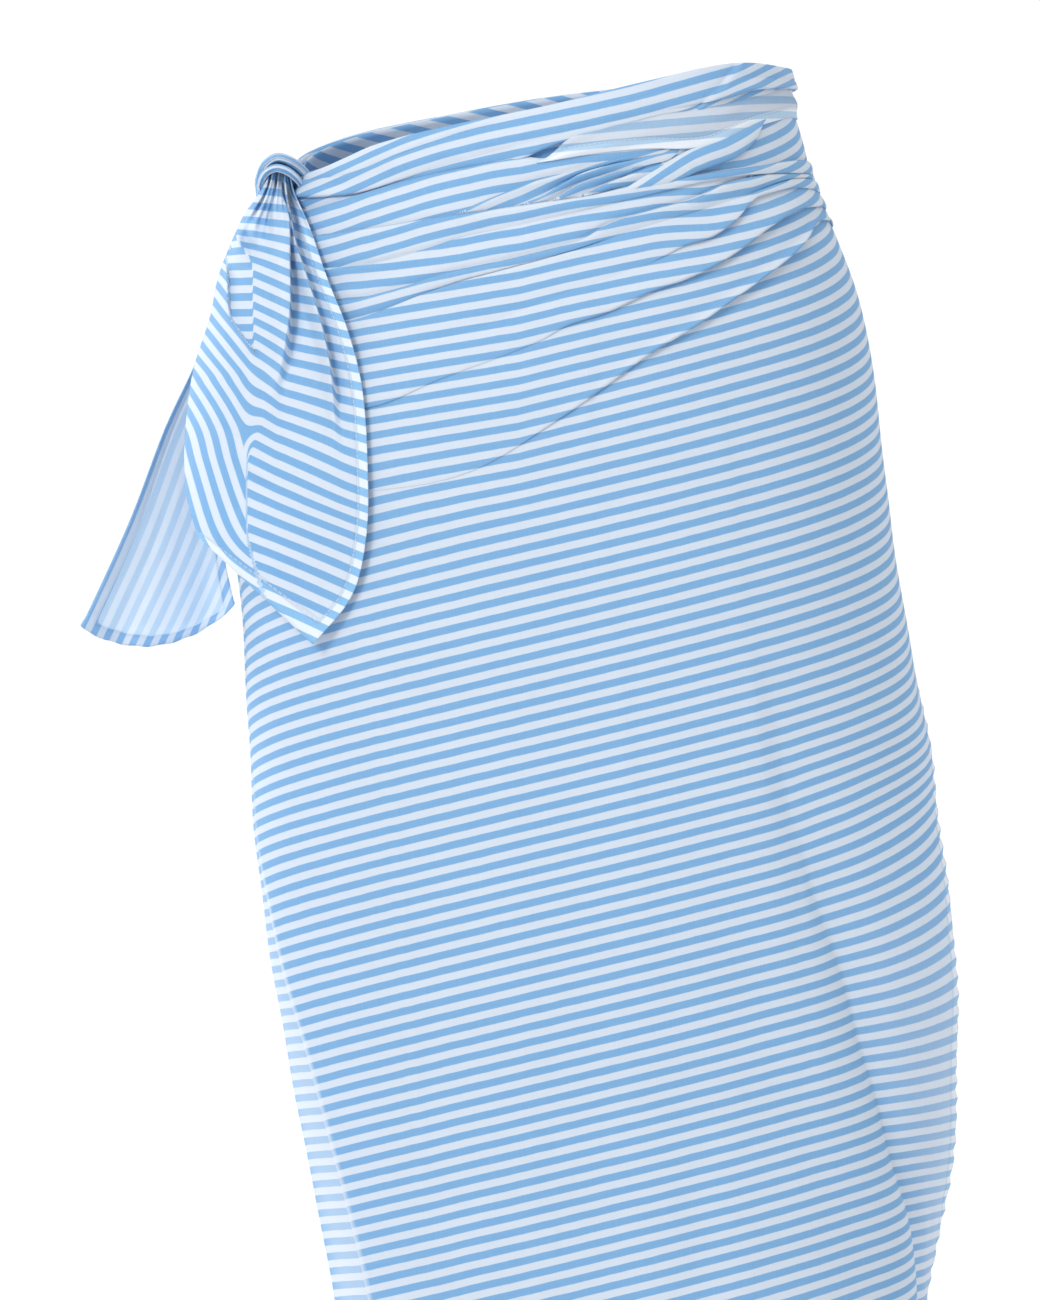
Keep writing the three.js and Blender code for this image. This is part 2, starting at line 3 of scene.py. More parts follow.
import bmesh
import bpy
import numpy as np
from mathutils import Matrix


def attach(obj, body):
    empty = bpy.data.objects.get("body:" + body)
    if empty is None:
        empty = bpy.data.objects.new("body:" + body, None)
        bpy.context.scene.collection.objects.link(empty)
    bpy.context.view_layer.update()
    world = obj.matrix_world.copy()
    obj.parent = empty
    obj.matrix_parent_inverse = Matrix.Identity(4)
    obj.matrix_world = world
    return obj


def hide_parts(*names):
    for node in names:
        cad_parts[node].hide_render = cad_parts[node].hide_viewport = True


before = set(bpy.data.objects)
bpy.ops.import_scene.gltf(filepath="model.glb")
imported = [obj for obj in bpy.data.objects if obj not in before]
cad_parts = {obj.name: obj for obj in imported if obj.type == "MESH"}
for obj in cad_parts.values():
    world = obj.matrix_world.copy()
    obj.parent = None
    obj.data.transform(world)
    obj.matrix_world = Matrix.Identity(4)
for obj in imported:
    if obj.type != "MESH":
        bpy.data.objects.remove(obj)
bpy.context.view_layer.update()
print("frame loaded")

# the figure under the cloth, in millimetres and degrees: 0 is the front, 90 the wearer's left
figure = {
    # height, middle x, middle y, half width, half depth
    "sections": [
        (90, 0, 0, 121, 86), (60, 0, 0, 124, 89), (20, 1, 0, 133, 97), (-20, 2, 2, 147, 106),
        (-60, 1, 4, 162, 115), (-100, 0, 7, 171, 121), (-150, 0, 9, 177, 125), (-220, 9, 8, 177, 123),
        (-290, 15, 5, 178, 118), (-360, 19, 2, 177, 114), (-440, 25, 0, 172, 111), (-520, 32, 0, 165, 108),
        (-610, 40, 0, 156, 106), (-720, 47, 0, 150, 105), (-950, 55, 0, 146, 105),
    ],
    "roundness": 2.3,
    "outerLayer": 3.6,  # how far the outer turn lies off the figure
    "cloth": 1.3,  # wall of the plain solids under the cloth
    "layerGap": 0.8,
    "hem": -930,
    "parts": ("hips", "thighs", "knees", "hem"),  # the solids of each long turn, from above
    "frontHemRise": 62,
    # angle, height of the top edge
    "topEdge": [
        (-95, 10), (-68, 14), (-50, 27), (-32, 36), (0, 48), (30, 61), (55, 71), (75, 70), (110, 68),
        (150, 63), (190, 55), (230, 40), (265, 20), (290, 10),
    ],
    # height, angle and rise of the standing crease at the knot side
    "leftCrease": [
        (90, -84, 0), (-200, -84, 0.5), (-300, -82, 2), (-390, -77, 3), (-447, -72.5, 3.5), (-514, -68, 4),
        (-605, -63, 5), (-700, -61, 6), (-950, -58, 6),
    ],
    # height, crease angle, free edge angle, crease rise, how far the free edge stands off
    "sideEdge": [
        (90, 60, 110, 0, 0), (-180, 52, 108, 0, 0), (-250, 46, 99, 0.5, 3), (-300, 46, 88, 2, 8),
        (-350, 49, 83, 3, 13), (-420, 57, 81, 4, 21), (-480, 63, 81, 5, 21), (-530, 69, 84, 6, 18),
        (-570, 77, 91, 6, 11), (-610, 82, 97, 6, 6), (-700, 84, 102, 5, 5), (-950, 84, 104, 5, 7),
    ],
}


def curve(rows, column, value):  # smooth through one column of a table
    table = np.array(rows, float)
    if table[0, 0] > table[-1, 0]:
        table = table[::-1]
    key = table[:, 0]
    data = table[:, column]
    slope = np.empty_like(data)
    slope[1:-1] = (data[2:] - data[:-2]) / (key[2:] - key[:-2])
    slope[0] = (data[1] - data[0]) / (key[1] - key[0])
    slope[-1] = (data[-1] - data[-2]) / (key[-1] - key[-2])
    at = np.clip(np.asarray(value, float), key[0], key[-1])
    i = np.clip(np.searchsorted(key, at, side="right") - 1, 0, len(key) - 2)
    span = key[i + 1] - key[i]
    t = (at - key[i]) / span
    bend = slope[i] * (t**3 - 2 * t**2 + t) + slope[i + 1] * (t**3 - t**2)
    return data[i] * (2 * t**3 - 3 * t**2 + 1) + data[i + 1] * (3 * t**2 - 2 * t**3) + bend * span


def mix(a, b, t):
    return a + (b - a) * t


def ease(low, high, value):
    t = np.clip((value - low) / (high - low), 0, 1)
    return t * t * (3 - 2 * t)


def hump(t):
    return np.where(np.abs(t) < 1, (1 - t * t) ** 2, 0)


def fade(distance, reach):
    return np.exp(-np.clip(distance, 0, None) / reach)


def figurePoint(angle, z, out):
    rows = figure["sections"]
    power = figure["roundness"]
    radians = np.radians(angle)
    across = np.abs(np.sin(radians)) / (curve(rows, 3, z) + out)
    through = np.abs(np.cos(radians)) / (curve(rows, 4, z) + out)
    radius = (across**power + through**power) ** (-1 / power)
    x = curve(rows, 1, z) + radius * np.sin(radians)
    y = curve(rows, 2, z) - radius * np.cos(radians)
    return x, y


def frontAngle(x, z, out):  # the angle of a place that is seen from the front
    rows = figure["sections"]
    power = figure["roundness"]
    middle = curve(rows, 1, z)
    side = np.clip((x - middle) / (curve(rows, 3, z) + out), -0.9999, 0.9999)
    depth = (curve(rows, 4, z) + out) * (1 - np.abs(side) ** power) ** (1 / power)
    return np.degrees(np.arctan2(x - middle, depth))


def topEdge(angle):
    return curve(figure["topEdge"], 1, angle)


def arcLength(angle, z, out):  # distance round the figure, from its front
    x, y = figurePoint(angle, z, out)
    angle = np.broadcast_to(angle, z.shape)
    step = np.hypot(np.diff(x, axis=1), np.diff(y, axis=1))
    length = np.concatenate([np.zeros((len(x), 1)), np.cumsum(step, axis=1)], axis=1)
    for row in range(len(x)):
        length[row] -= np.interp(0, angle[row], length[row])
    return length


weave = {
    "stripeRepeat": 0.00825,  # one blue and one white stripe
    "stripeBlur": 0.00022,
    "blue": (0.270, 0.535, 0.83),
    "white": (0.80, 0.87, 0.95),
    # the reverse face has lighter stripes; its colours are also lightened as painted backlight
    "reverseBlueAndBacklight": (0.50, 0.70, 0.88),
    "reverseWhiteAndBacklight": (0.87, 0.91, 0.96),
    "lightThrough": 0.30,
    "reverseLightThrough": 0.45,
    # painted backlight: how much, and towards which colour, a backlit part is painted lighter
    "paintedBacklight": 0.45,
    "backlitColour": (0.93, 0.965, 1),
    "stripeWander": 0.0005,
    "weft": (40, 2200, 1),
    "warp": (2200, 40, 1),
    "threadShade": (0.25, 0.33, 0.5),
    "paintedDimpleShadow": (0.22, 0.34, 0.56),
    "stitchColour": (0.80, 0.86, 0.94),
    "stitchLine": 0.0055,
    "stitchLength": 0.0027,
    "thickness": 0.0006,
    "bump": {"Strength": 0.35, "Distance": 0.0003},
    "surface": {
        "Roughness": 0.82, "Specular IOR Level": 0.25, "Sheen Weight": 0.12, "Sheen Roughness": 0.5,
    },
}


def addNode(tree, kind, **values):
    node = tree.nodes.new(kind)
    for name, value in values.items():
        setattr(node, name, value)
    return node


def setInputs(node, values):
    for name, value in values.items():
        node.inputs[name].default_value = value


def calculate(tree, operation, first, second=None):
    node = addNode(tree, "ShaderNodeMath", operation=operation)
    for socket, value in zip(node.inputs, (first, second)):
        if value is None:
            continue
        if isinstance(value, (int, float)):
            socket.default_value = value
        else:
            tree.links.new(value, socket)
    return node.outputs[0]


def band(tree, value, low, high):  # 0 below low, 1 above high
    node = addNode(tree, "ShaderNodeMapRange", interpolation_type="SMOOTHSTEP")
    tree.links.new(value, node.inputs["Value"])
    setInputs(node, {"From Min": low, "From Max": high})
    return node.outputs[0]


def blend(tree, amount, first, second, kind="MIX"):
    node = addNode(tree, "ShaderNodeMix", data_type="RGBA", blend_type=kind)
    for name, value in (("Factor_Float", amount), ("A_Color", first), ("B_Color", second)):
        socket = next(s for s in node.inputs if s.identifier == name)
        if isinstance(value, (int, float)):
            socket.default_value = value
        elif isinstance(value, tuple):
            socket.default_value = (*value, 1)
        else:
            tree.links.new(value, socket)
    return next(s for s in node.outputs if s.identifier == "Result_Color")


def stripedCotton(name, blue, white, lightThrough):
    material = bpy.data.materials.new(name)
    material.use_nodes = True
    tree = material.node_tree
    tree.nodes.clear()
    link = tree.links.new

    def times(first, second):
        return calculate(tree, "MULTIPLY", first, second)

    def plus(first, second):
        return calculate(tree, "ADD", first, second)

    def minus(first, second):
        return calculate(tree, "SUBTRACT", first, second)

    def layer(label):  # a layer and its two numbers
        node = addNode(tree, "ShaderNodeUVMap", uv_map=label)
        split = addNode(tree, "ShaderNodeSeparateXYZ")
        link(node.outputs[0], split.inputs[0])
        return node.outputs[0], split.outputs[0], split.outputs[1]

    def noise(place, scale, detail=2):
        node = addNode(tree, "ShaderNodeTexNoise")
        setInputs(node, {"Scale": scale, "Detail": detail})
        link(place, node.inputs["Vector"])
        return node.outputs[0]

    def threads(scale):  # long thick and thin places one way
        mapping = addNode(tree, "ShaderNodeMapping")
        setInputs(mapping, {"Scale": scale})
        link(cloth, mapping.inputs["Vector"])
        return noise(mapping.outputs[0], 1, 3)

    cloth, _, across = layer("cloth")
    _, hemAlong, hemOff = layer("hem")
    backlitShare = layer("backlitShare")[1]

    # stripes, with a slightly uneven edge where the threads change
    drift = times(minus(noise(cloth, 90), 0.5), weave["stripeWander"])
    half = weave["stripeRepeat"] / 2
    wave = calculate(tree, "PINGPONG", plus(across, drift), half)
    stripe = band(tree, wave, half / 2 - weave["stripeBlur"], half / 2 + weave["stripeBlur"])
    colour = blend(tree, stripe, blue, white)

    # painted backlight: where one layer hangs free, its colour is painted lighter, towards a pale blue white,
    # in place of the light that comes through it
    colour = blend(tree, times(backlitShare, weave["paintedBacklight"]), colour, weave["backlitColour"])
    slub = plus(threads(weave["weft"]), threads(weave["warp"]))
    shade = blend(tree, band(tree, slub, 0.7, 1.3), weave["threadShade"], (1, 1, 1))
    colour = blend(tree, 0.10, colour, shade, "SOFT_LIGHT")

    # stitching along a hem, and the doubled cloth outside it
    beside = calculate(tree, "ABSOLUTE", minus(hemOff, weave["stitchLine"]))
    dash = calculate(tree, "PINGPONG", hemAlong, weave["stitchLength"] / 2)
    stitch = times(minus(1, band(tree, beside, 0.00022, 0.0005)), band(tree, dash, 0.0003, 0.0005))
    # painted shade: the cloth is darkened in the groove beside the stitching, which also gets a bump
    dimple = minus(1, band(tree, beside, 0.0003, 0.0013))
    colour = blend(tree, times(dimple, 0.32), colour, weave["paintedDimpleShadow"])
    colour = blend(tree, times(stitch, 0.35), colour, weave["stitchColour"])
    # where the hem is doubled the face colours come back, with less of the painted backlight
    doubled = minus(1, band(tree, hemOff, 0.0058, 0.0064))
    hemColour = blend(tree, stripe, weave["blue"], weave["white"])
    colour = blend(tree, times(doubled, times(backlitShare, 0.75)), colour, hemColour)

    # relief of the threads and the stitches
    height = plus(times(slub, 0.5), times(noise(cloth, 1500), 0.4))
    height = minus(plus(height, times(stitch, 2.0)), times(dimple, 2.2))
    height = plus(height, times(doubled, 1.5))
    bump = addNode(tree, "ShaderNodeBump")
    setInputs(bump, weave["bump"])
    link(height, bump.inputs["Height"])

    surface = addNode(tree, "ShaderNodeBsdfPrincipled")
    setInputs(surface, weave["surface"])
    through = addNode(tree, "ShaderNodeBsdfTranslucent")
    both = addNode(tree, "ShaderNodeMixShader")
    link(minus(lightThrough, times(doubled, lightThrough * 0.6)), both.inputs[0])
    for place, shader, label in ((1, surface, "Base Color"), (2, through, "Color")):
        link(colour, shader.inputs[label])
        link(bump.outputs[0], shader.inputs["Normal"])
        link(shader.outputs[0], both.inputs[place])
    end = addNode(tree, "ShaderNodeOutputMaterial")
    link(both.outputs[0], end.inputs["Surface"])
    return material


stripedFace = stripedCotton("striped_cotton", weave["blue"], weave["white"], weave["lightThrough"])
stripedReverse = stripedCotton(
    "striped_cotton_reverse", weave["reverseBlueAndBacklight"], weave["reverseWhiteAndBacklight"], weave["reverseLightThrough"])
print("cotton materials made")

noHem = 900  # farther off than any stitch


def addObject(name, data):
    thing = bpy.data.objects.new(name, data)
    bpy.context.scene.collection.objects.link(thing)
    return thing


def makeCloth(name, x, y, z, along, across, hemAlong=0, hemOff=noHem, backlitShare=0, reverse=False, nodes=(),
              closed=False):
    rows, columns = x.shape
    bm = bmesh.new()
    bmesh.ops.create_grid(bm, x_segments=columns - 1, y_segments=rows - 1, size=0.5)
    mesh = bpy.data.meshes.new(name)
    bm.to_mesh(mesh)
    bm.free()
    flat = np.empty(len(mesh.vertices) * 3)
    mesh.vertices.foreach_get("co", flat)
    grid = flat.reshape(-1, 3)
    column = np.rint((grid[:, 0] + 0.5) * (columns - 1)).astype(int)
    row = np.rint((0.5 - grid[:, 1]) * (rows - 1)).astype(int)
    spots = np.stack([part[row, column] for part in (x, y, z)], 1) * 0.001
    mesh.vertices.foreach_set("co", spots.ravel())
    corners = np.empty(len(mesh.loops), int)
    mesh.loops.foreach_get("vertex_index", corners)
    # the share of painted backlight is kept in a layer of its own
    free = backlitShare * 1000
    for label, *pair in (("cloth", along, across), ("hem", hemAlong, hemOff), ("backlitShare", free, free)):
        layer = mesh.uv_layers.new(name=label)
        pair = np.stack([np.broadcast_to(part, x.shape)[row, column] for part in pair], 1) * 0.001
        layer.data.foreach_set("uv", pair[corners].ravel())
    if closed:  # a rolled strap: its two long edges are sewn into one
        bm = bmesh.new()
        bm.from_mesh(mesh)
        bmesh.ops.remove_doubles(bm, verts=bm.verts[:], dist=1e-6)
        bm.to_mesh(mesh)
        bm.free()
    mesh.polygons.foreach_set("use_smooth", np.ones(len(mesh.polygons), bool))
    mesh.materials.append(stripedReverse if reverse else stripedFace)
    mesh.update()
    piece = addObject(name, mesh)
    wall = piece.modifiers.new("wall", "SOLIDIFY")
    wall.thickness = weave["thickness"]
    wall.offset = -1
    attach(piece, "root")
    if nodes:
        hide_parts(*nodes)
    return piece


def fallAway(distance, reach):  # from 1 down to 0 at the reach
    t = np.clip(distance / reach, 0, 1)
    return (1 - t) ** 2 * (1 + 2 * t)


# Folds are listed as: whether the upper cloth lies in front, width, then rows of x (or an angle in brackets),
# z as seen from the front, rise and cloth tucked away (0 where left out). Each line stays below the last.
def foldLines(table, angles, out, top, least=0.15):
    folds = []
    for over, width, rows in table:
        full = []
        for place, *row in rows:
            at = place[0] if isinstance(place, tuple) else float(frontAngle(place, row[0], out))
            full.append((at, *row, 0, 0)[:4])
        z, rise, tuck = (curve(full, column, angles) for column in (1, 2, 3))
        top = np.minimum(z, top - least)
        folds.append({"z": top, "rise": np.clip(rise, 0, None), "tuck": tuck, "over": over, "width": width})
    return folds


# Rows close to a fold line, by its "over": gap, lift, share of the rise, sink, share of the way from the tuck
# above to the tuck below.
foldSteps = {
    True: [
        (1, 0, 0.72, 0, 0), (1 / 3, -0.5, 0.45, 0, 0.1), (-1 / 3, 1.6, 0.05, -0.4, 0.6),
        (-1, 1.2, 0, -0.9, 1),
    ],
    False: [
        (1, 0.4, -0.1, -0.2, 0), (1 / 3, -2, 0, -1, 0.4), (-1 / 3, -1.6, 0.2, -0.1, 0.9),
        (-1, 0.35, 0.7, 0, 1),
    ],
}


def pulledRows(top, folds, bottom, counts, swell):  # height, rise and tuck of every row
    lines = [top] + [fold["z"] for fold in folds] + [bottom]
    zs, outs, shifts = [], [], []
    strips = [sum((fold["tuck"] for fold in folds[k:]), np.zeros_like(top)) for k in range(len(lines) - 1)]
    for k in range(len(lines) - 3, 0, -1):  # a strip squeezed to nothing shows what lies under it
        strips[k] = mix(strips[k + 1], strips[k], ease(0.8, 1.5, lines[k] - lines[k + 1]))
    for k in range(len(lines) - 1):
        upper, lower = lines[k], lines[k + 1]
        above = folds[k - 1] if k else None
        below = folds[k] if k < len(folds) else None
        room = upper - lower
        edge = np.minimum(0.45, room * 0.2)
        for i in range(counts[k]):
            t = i / max(1, counts[k] - 1)
            if below is not None:
                t = mix(t, ease(0, 1, t), 0.55)
            z = upper - edge - (room - 2 * edge) * t
            down, up = upper - z, z - lower
            out = swell[k] * 4 * down * up / np.maximum(room, 1e-6) ** 2 * np.clip(room / 14, 0, 1)
            for fold, off in ((above, down), (below, up)):
                if fold is not None:
                    raised = fold["over"] == (fold is below)
                    near = fallAway(off, fold["width"]) if raised else -0.45 * fade(off, 2.5)
                    out = out + fold["rise"] * near
            zs.append(z)
            outs.append(out)
            shifts.append(strips[k])
        if below is None:
            continue
        strength = np.clip(below["rise"] / 1.6, 0, 1)
        tiny = np.minimum(0.1, room * 0.05)
        for gap, lift, share, sink, moved in foldSteps[below["over"]]:
            zs.append(below["z"] + gap * tiny + lift * strength)
            outs.append(share * below["rise"] + sink * strength)
            shifts.append(mix(strips[k], strips[k + 1], moved))
    return np.array(zs), np.array(outs), np.array(shifts)


# bands along the front of the waist
bandLines = {
    # x, z: lower edges as seen from the front
    "topBand": [
        (-140, -12), (-118, -7), (-69, 8), (-9, 21), (5, 26), (55, 40), (80, 44), (104, 49), (128, 55),
    ],
    "hemmedBand": [(-9, 15), (20, 20), (48, 23), (79, 24), (104, 34), (130, 42)],
    "level": 30,  # where x is turned into an angle
}


def bandX(angle):  # x of a place on the waist, as seen from the front
    level = np.full_like(angle, bandLines["level"])
    return figurePoint(np.minimum(angle, 90), level, figure["outerLayer"])[0]


def bandLow(name, angle):
    return curve(bandLines[name], 1, bandX(angle))


# the outer turn over the front
frontSheet = {
    "columns": 156,
    "creaseColumn": 118,
    "rows": [6, 6, 6, 6, 7, 10, 10, 8, 10, 9, 12, 178],
    "swell": [0.6, 0.5, 0.5, 0.6, 0.6, 1.2, 1, 0.8, 0.9, 0.8, 0.6, 0],
    "folds": [
        (False, 6, [
            ((-90,), -23.3, 0, -48.6), (-127, -23, 0, -42.8), (-54, -12.6, 0, -24.6), (-46, -9, 0.8, -22.6),
            (-32, -3.3, 1.8, -19.1), (-20, 1.5, 2.2, -16.1), (-12, 4.5, 2.4, -14.1), (-3, 7, 2.4, -11.9),
            (18, 13, 1.8, -6.6), (40, 19, 0.6, -1.1), (66, 26, 0, 5.4), (72, 36, 0, 5.4), (86, 60, 0, 5.4),
            ((112,), 70, 0, 5.4),
        ]),
        (False, 5, [
            ((-90,), -23.5, 0, -2.7), (-54, -12.8, 0, -2.7), (-20, -8, 0, -2.7), (-14, -6, 1.2, -2.7),
            (-6, -3, 2.2, -2.7), (4, 3.6, 2.6, -2.7), (15, 9.5, 2.4, -2.7), (30, 14, 2, -2.7),
            (47, 18, 0.8, -2.7), (66, 25, 0, -2.7), (86, 58, 0, -2.7), ((112,), 68, 0, -2.7),
        ]),
        (False, 5, [
            ((-90,), -23.7, 0, 3.3), (-54, -13, 0, 3.3), (-30, -9.9, 0, 3.3), (-6, -6.2, 0, 3.3),
            (0, -4.6, 1.2, 3.3), (8, 0, 2.2, 3.3), (14, 3.5, 2.4, 3.3), (30, 9, 2, 3.3), (50, 14, 0, 3.3),
            (66, 20, 0, 3.3), (86, 50, 0, 3.3), ((112,), 66, 0, 3.3),
        ]),
        (False, 6, [
            ((-90,), -23.9, 0, 48), (-127, -23.6, 0, 42.2), (-54, -13.2, 0, 24), (-30, -10, 0, 18),
            (-6, -6.4, 0, 12), (12, -3.6, 0, 7.5), (18, -1.2, 1.4, 6), (31, 5, 2.6, 2.8),
            (47, 11, 2.6, -1.2), (66, 18, 1.6, -6), (76, 26, 0.8, -6), (90, 48, 0, -6), ((112,), 62, 0, -6),
        ]),
        (False, 11, [
            ((-90,), -24, 2.2, 9), (-127, -23.7, 2.2, 9), (-110, -21, 2.2, 8), (-89, -18.7, 2.2, 7),
            (-52, -13.2, 2.2, 7), (-17, -8, 2.2, 8), (17, -3.3, 2.2, 9), (40, 2, 2, 10), (59, 4.6, 2, 11),
            (75, 8.5, 2.4, 12), (104, 13.2, 2.6, 13), (132, 18, 2.2, 13), ((90,), 17.5, 1, 13),
            ((112,), 15, 0.8, 13),
        ]),
        (False, 9, [
            ((-90,), -43, 2.8, 13), (-125, -41.8, 2.8, 12), (-104, -40.5, 2.6, 9), (-87, -37, 2, 6),
            (-69, -31.6, 1.3, 3), (-49, -25, 0.7, 1), (-20, -19), (40, -5), (104, 9), ((112,), 11),
        ]),
        (False, 9, [
            ((-90,), -62, 1), (-118, -60, 1.2), (-85, -53.4, 1.4, 5), (-62, -46, 1.6, 8),
            (-32, -39.5, 1.7, 9), (14, -27, 1.9, 10), (29, -18.5, 2, 11), (54, -10.2, 2, 12),
            (75, -4.4, 2.2, 12), (93, 4.5, 2, 12), (104, 7.5, 1.6, 12), (132, 13, 1, 12),
            ((90,), 11, 0.6, 12), ((112,), 8, 0.6, 12),
        ]),
        (False, 8, [
            ((-90,), -74, 1.2, 6), (-113, -71, 1.4, 6), (-101, -68, 1.4, 5), (-71, -56.5, 1.3, 2),
            (-52, -50, 1.2, 1), (-32, -44.6, 1.2), (14, -31.6, 0.8), (36, -24), (90, -7), (132, 8, 0.6),
            ((112,), 3, 0.6),
        ]),
        (True, 12, [
            ((-90,), -97), (-60, -80), (0, -58), (46, -42), (60, -35.5, 0.6), (70, -30, 1.2, 1),
            (85, -24.8, 2, 3), (97, -16, 2.6, 4), (104, -7.7, 2.4, 4.5), (110, -2.5, 1.8, 5),
            (132, 3, 0.9, 5), ((90,), 1, 0.5, 5), ((112,), -1, 0.5, 5),
        ]),
        (True, 10, [
            ((-90,), -121, 0.6), (-102, -118, 0.7), (-60, -102, 0.4), (-8, -82, 0.4), (6, -74, 0.9),
            (29, -66, 1.4, 0.5), (52, -55, 1.8, 1), (70, -48.4, 2.2, 2), (87, -40.5, 2.6, 3),
            (104, -29, 2.8, 3.5), (113, -21.5, 3, 4), (126, -12.4, 2.8, 4), (137, -7.5, 1.8, 4),
            ((90,), -7, 1, 4), ((112,), -11, 0.8, 4),
        ]),
        (True, 4.5, [
            ((-90,), -172), (-85, -162, 0.2), (-41, -151, 0.4), (3, -124, 0.9), (34, -102, 1.5, 0.5),
            (50, -90, 2, 1), (77, -73, 2.6, 2), (93, -61.6, 2.8, 2.5), (110, -49.5, 3, 3), (123, -39, 3, 3),
            (135, -27, 3, 3), (143, -15, 2.2, 3), ((90,), -16, 1.2, 3), ((112,), -24, 0.8, 3),
        ]),
    ],
    "stripeClimb": (0.25, 0.00008),
    "scallop": 0.7,
    # angle, reach in degrees, height of the hanging folds
    "drapes": [(-38, 10, 2), (8, 14, 2.4), (30, 10, 1.6)],
    # crease from which the free part opens: height, depth, how much more the stripes climb beyond it
    "opening": [
        (90, 0, 0), (-240, 0, 0), (-290, 1.2, 0.04), (-350, 2.2, 0.12), (-420, 2.7, 0.05),
        (-470, 2.8, -0.08), (-530, 2.8, -0.18), (-600, 2.2, -0.2), (-680, 1, -0.1), (-950, 0.5, 0),
    ],
    # pressed creases: distance from the middle, from height, to height, rise
    "pressed": [
        (-112, -150, -560, 0.8), (-42, -190, -700, 0.6), (22, -60, -420, 0.7), (92, -110, -330, 0.75),
        (104, -260, -520, -0.6),
    ],
}


def frontTop(angle):  # the outer turn starts here, over or under the waist bands
    return mix(bandLow("topBand", angle), bandLow("hemmedBand", angle) + 2.5, ease(-22, -4, bandX(angle)))


def creaseShape(distance, reach):
    return np.clip(1 - np.abs(distance) / reach, 0, None) ** 1.6


def slowRipple(length, z):  # slow unevenness of worn cloth
    ripple = 0.35 * np.sin(length / 17 + z / 29) * np.sin(z / 23 - length / 41)
    ripple = ripple + 0.5 * np.sin(length / 37 - z / 61 + 1) + 0.25 * np.sin(z / 11 + length / 53)
    return ripple * ease(0, 60, -z)


def stripeRise(length, z):  # how far the stripes climb over the front
    a, b = frontSheet["stripeClimb"]
    return a * length + b * length**2 + 0.08 * np.clip(-(length + 20), 0, None) * ease(-210, -130, z)


def buildFront():
    columns = frontSheet["columns"]
    k = frontSheet["creaseColumn"]
    u = np.linspace(0, 1, columns)
    toCrease = np.minimum(np.arange(columns) / k, 1)
    toEdge = np.clip((np.arange(columns) - k) / (columns - 1 - k), 0, 1)
    plain = mix(mix(-84, 57, toCrease), 110, toEdge)
    out = figure["outerLayer"] + figure["cloth"]
    top = frontTop(plain)
    folds = foldLines(frontSheet["folds"], plain, out, top)
    hem = figure["hem"] + figure["frontHemRise"] * u
    z, rise, tuck = pulledRows(top, folds, hem, frontSheet["rows"], frontSheet["swell"])
    left = curve(figure["leftCrease"], 1, z)
    side = [curve(figure["sideEdge"], column, z) for column in range(1, 5)]
    crease = mix(57, side[0], ease(190, 260, -z))
    beyond = toEdge[None, :]
    angle = mix(mix(left, crease, toCrease[None, :]), side[1], beyond)
    flare = side[3] * (0.65 * beyond**0.75 + 0.35 * beyond)
    depth = curve(frontSheet["opening"], 1, z)
    before = fade(crease - angle, 3.6)
    flare = flare - depth * np.where(toCrease < 1, before, 1) * (1 - ease(0, 0.35, beyond))
    flare = flare + 0.55 * side[2] * hump((angle - crease + 7) / 15)
    leftRise = curve(figure["leftCrease"], 2, z) * creaseShape(angle - left, 20)
    drape = sum(height * hump((angle - at) / reach) for at, reach, height in frontSheet["drapes"])
    drape = drape * ease(260, 800, -z)

    length = arcLength(angle, z, out)
    fromCrease = np.clip(length - length[:, k:k + 1], 0, None)
    across = z - stripeRise(length, z) + tuck - curve(frontSheet["opening"], 2, z) * fromCrease
    ripple = slowRipple(length, z)
    for place, start, end, height in frontSheet["pressed"]:
        shown = ease(-start - 30, -start + 30, -z) * (1 - ease(-end - 60, -end + 60, -z))
        drift = (length - place - 4 * np.sin(z / 90)) / 2.5
        ripple = ripple + height * shown * (fade(np.abs(drift), 1) - 0.6 * fade(np.abs(drift - 2.2), 1))
    edgeOff = length[:, -1:] - length
    wavy = frontSheet["scallop"] * np.sin(2 * np.pi * across / (weave["stripeRepeat"] * 1000))
    wavy = wavy * fade(edgeOff, 9) * ease(170, 240, -z)

    layer = out + mix(1.6, -0.3, ease(-30, 0, angle)) * fade(top - z, 10)
    rolled = 1.3 * ease(280, 420, -z) * fade(angle - left, 6)
    x, y = figurePoint(angle, z, layer + rise + flare + leftRise + drape + ripple + wavy + rolled)
    hemUp = z - z[-1:]
    sideHem = np.where(z < -175, edgeOff, noHem)
    hemOff = np.minimum(sideHem, hemUp)
    hemAlong = np.where(sideHem < hemUp, z, length)
    # painted backlight: the part beyond the side crease and the strip at the left crease are painted lighter,
    # low down
    backlitShare = 0.8 * beyond**0.7 * ease(340, 520, -z) * (1 - ease(600, 680, -z))
    backlitShare[:, 0] = 1.6 * ease(300, 400, -z[:, 0])
    return makeCloth(
        "front_sheet", x, y, z, length, across, hemAlong, hemOff, backlitShare=backlitShare,
        nodes=[f"front_wrap_{part}" for part in figure["parts"]],
    )


frontPiece = buildFront()
print("front sheet made")

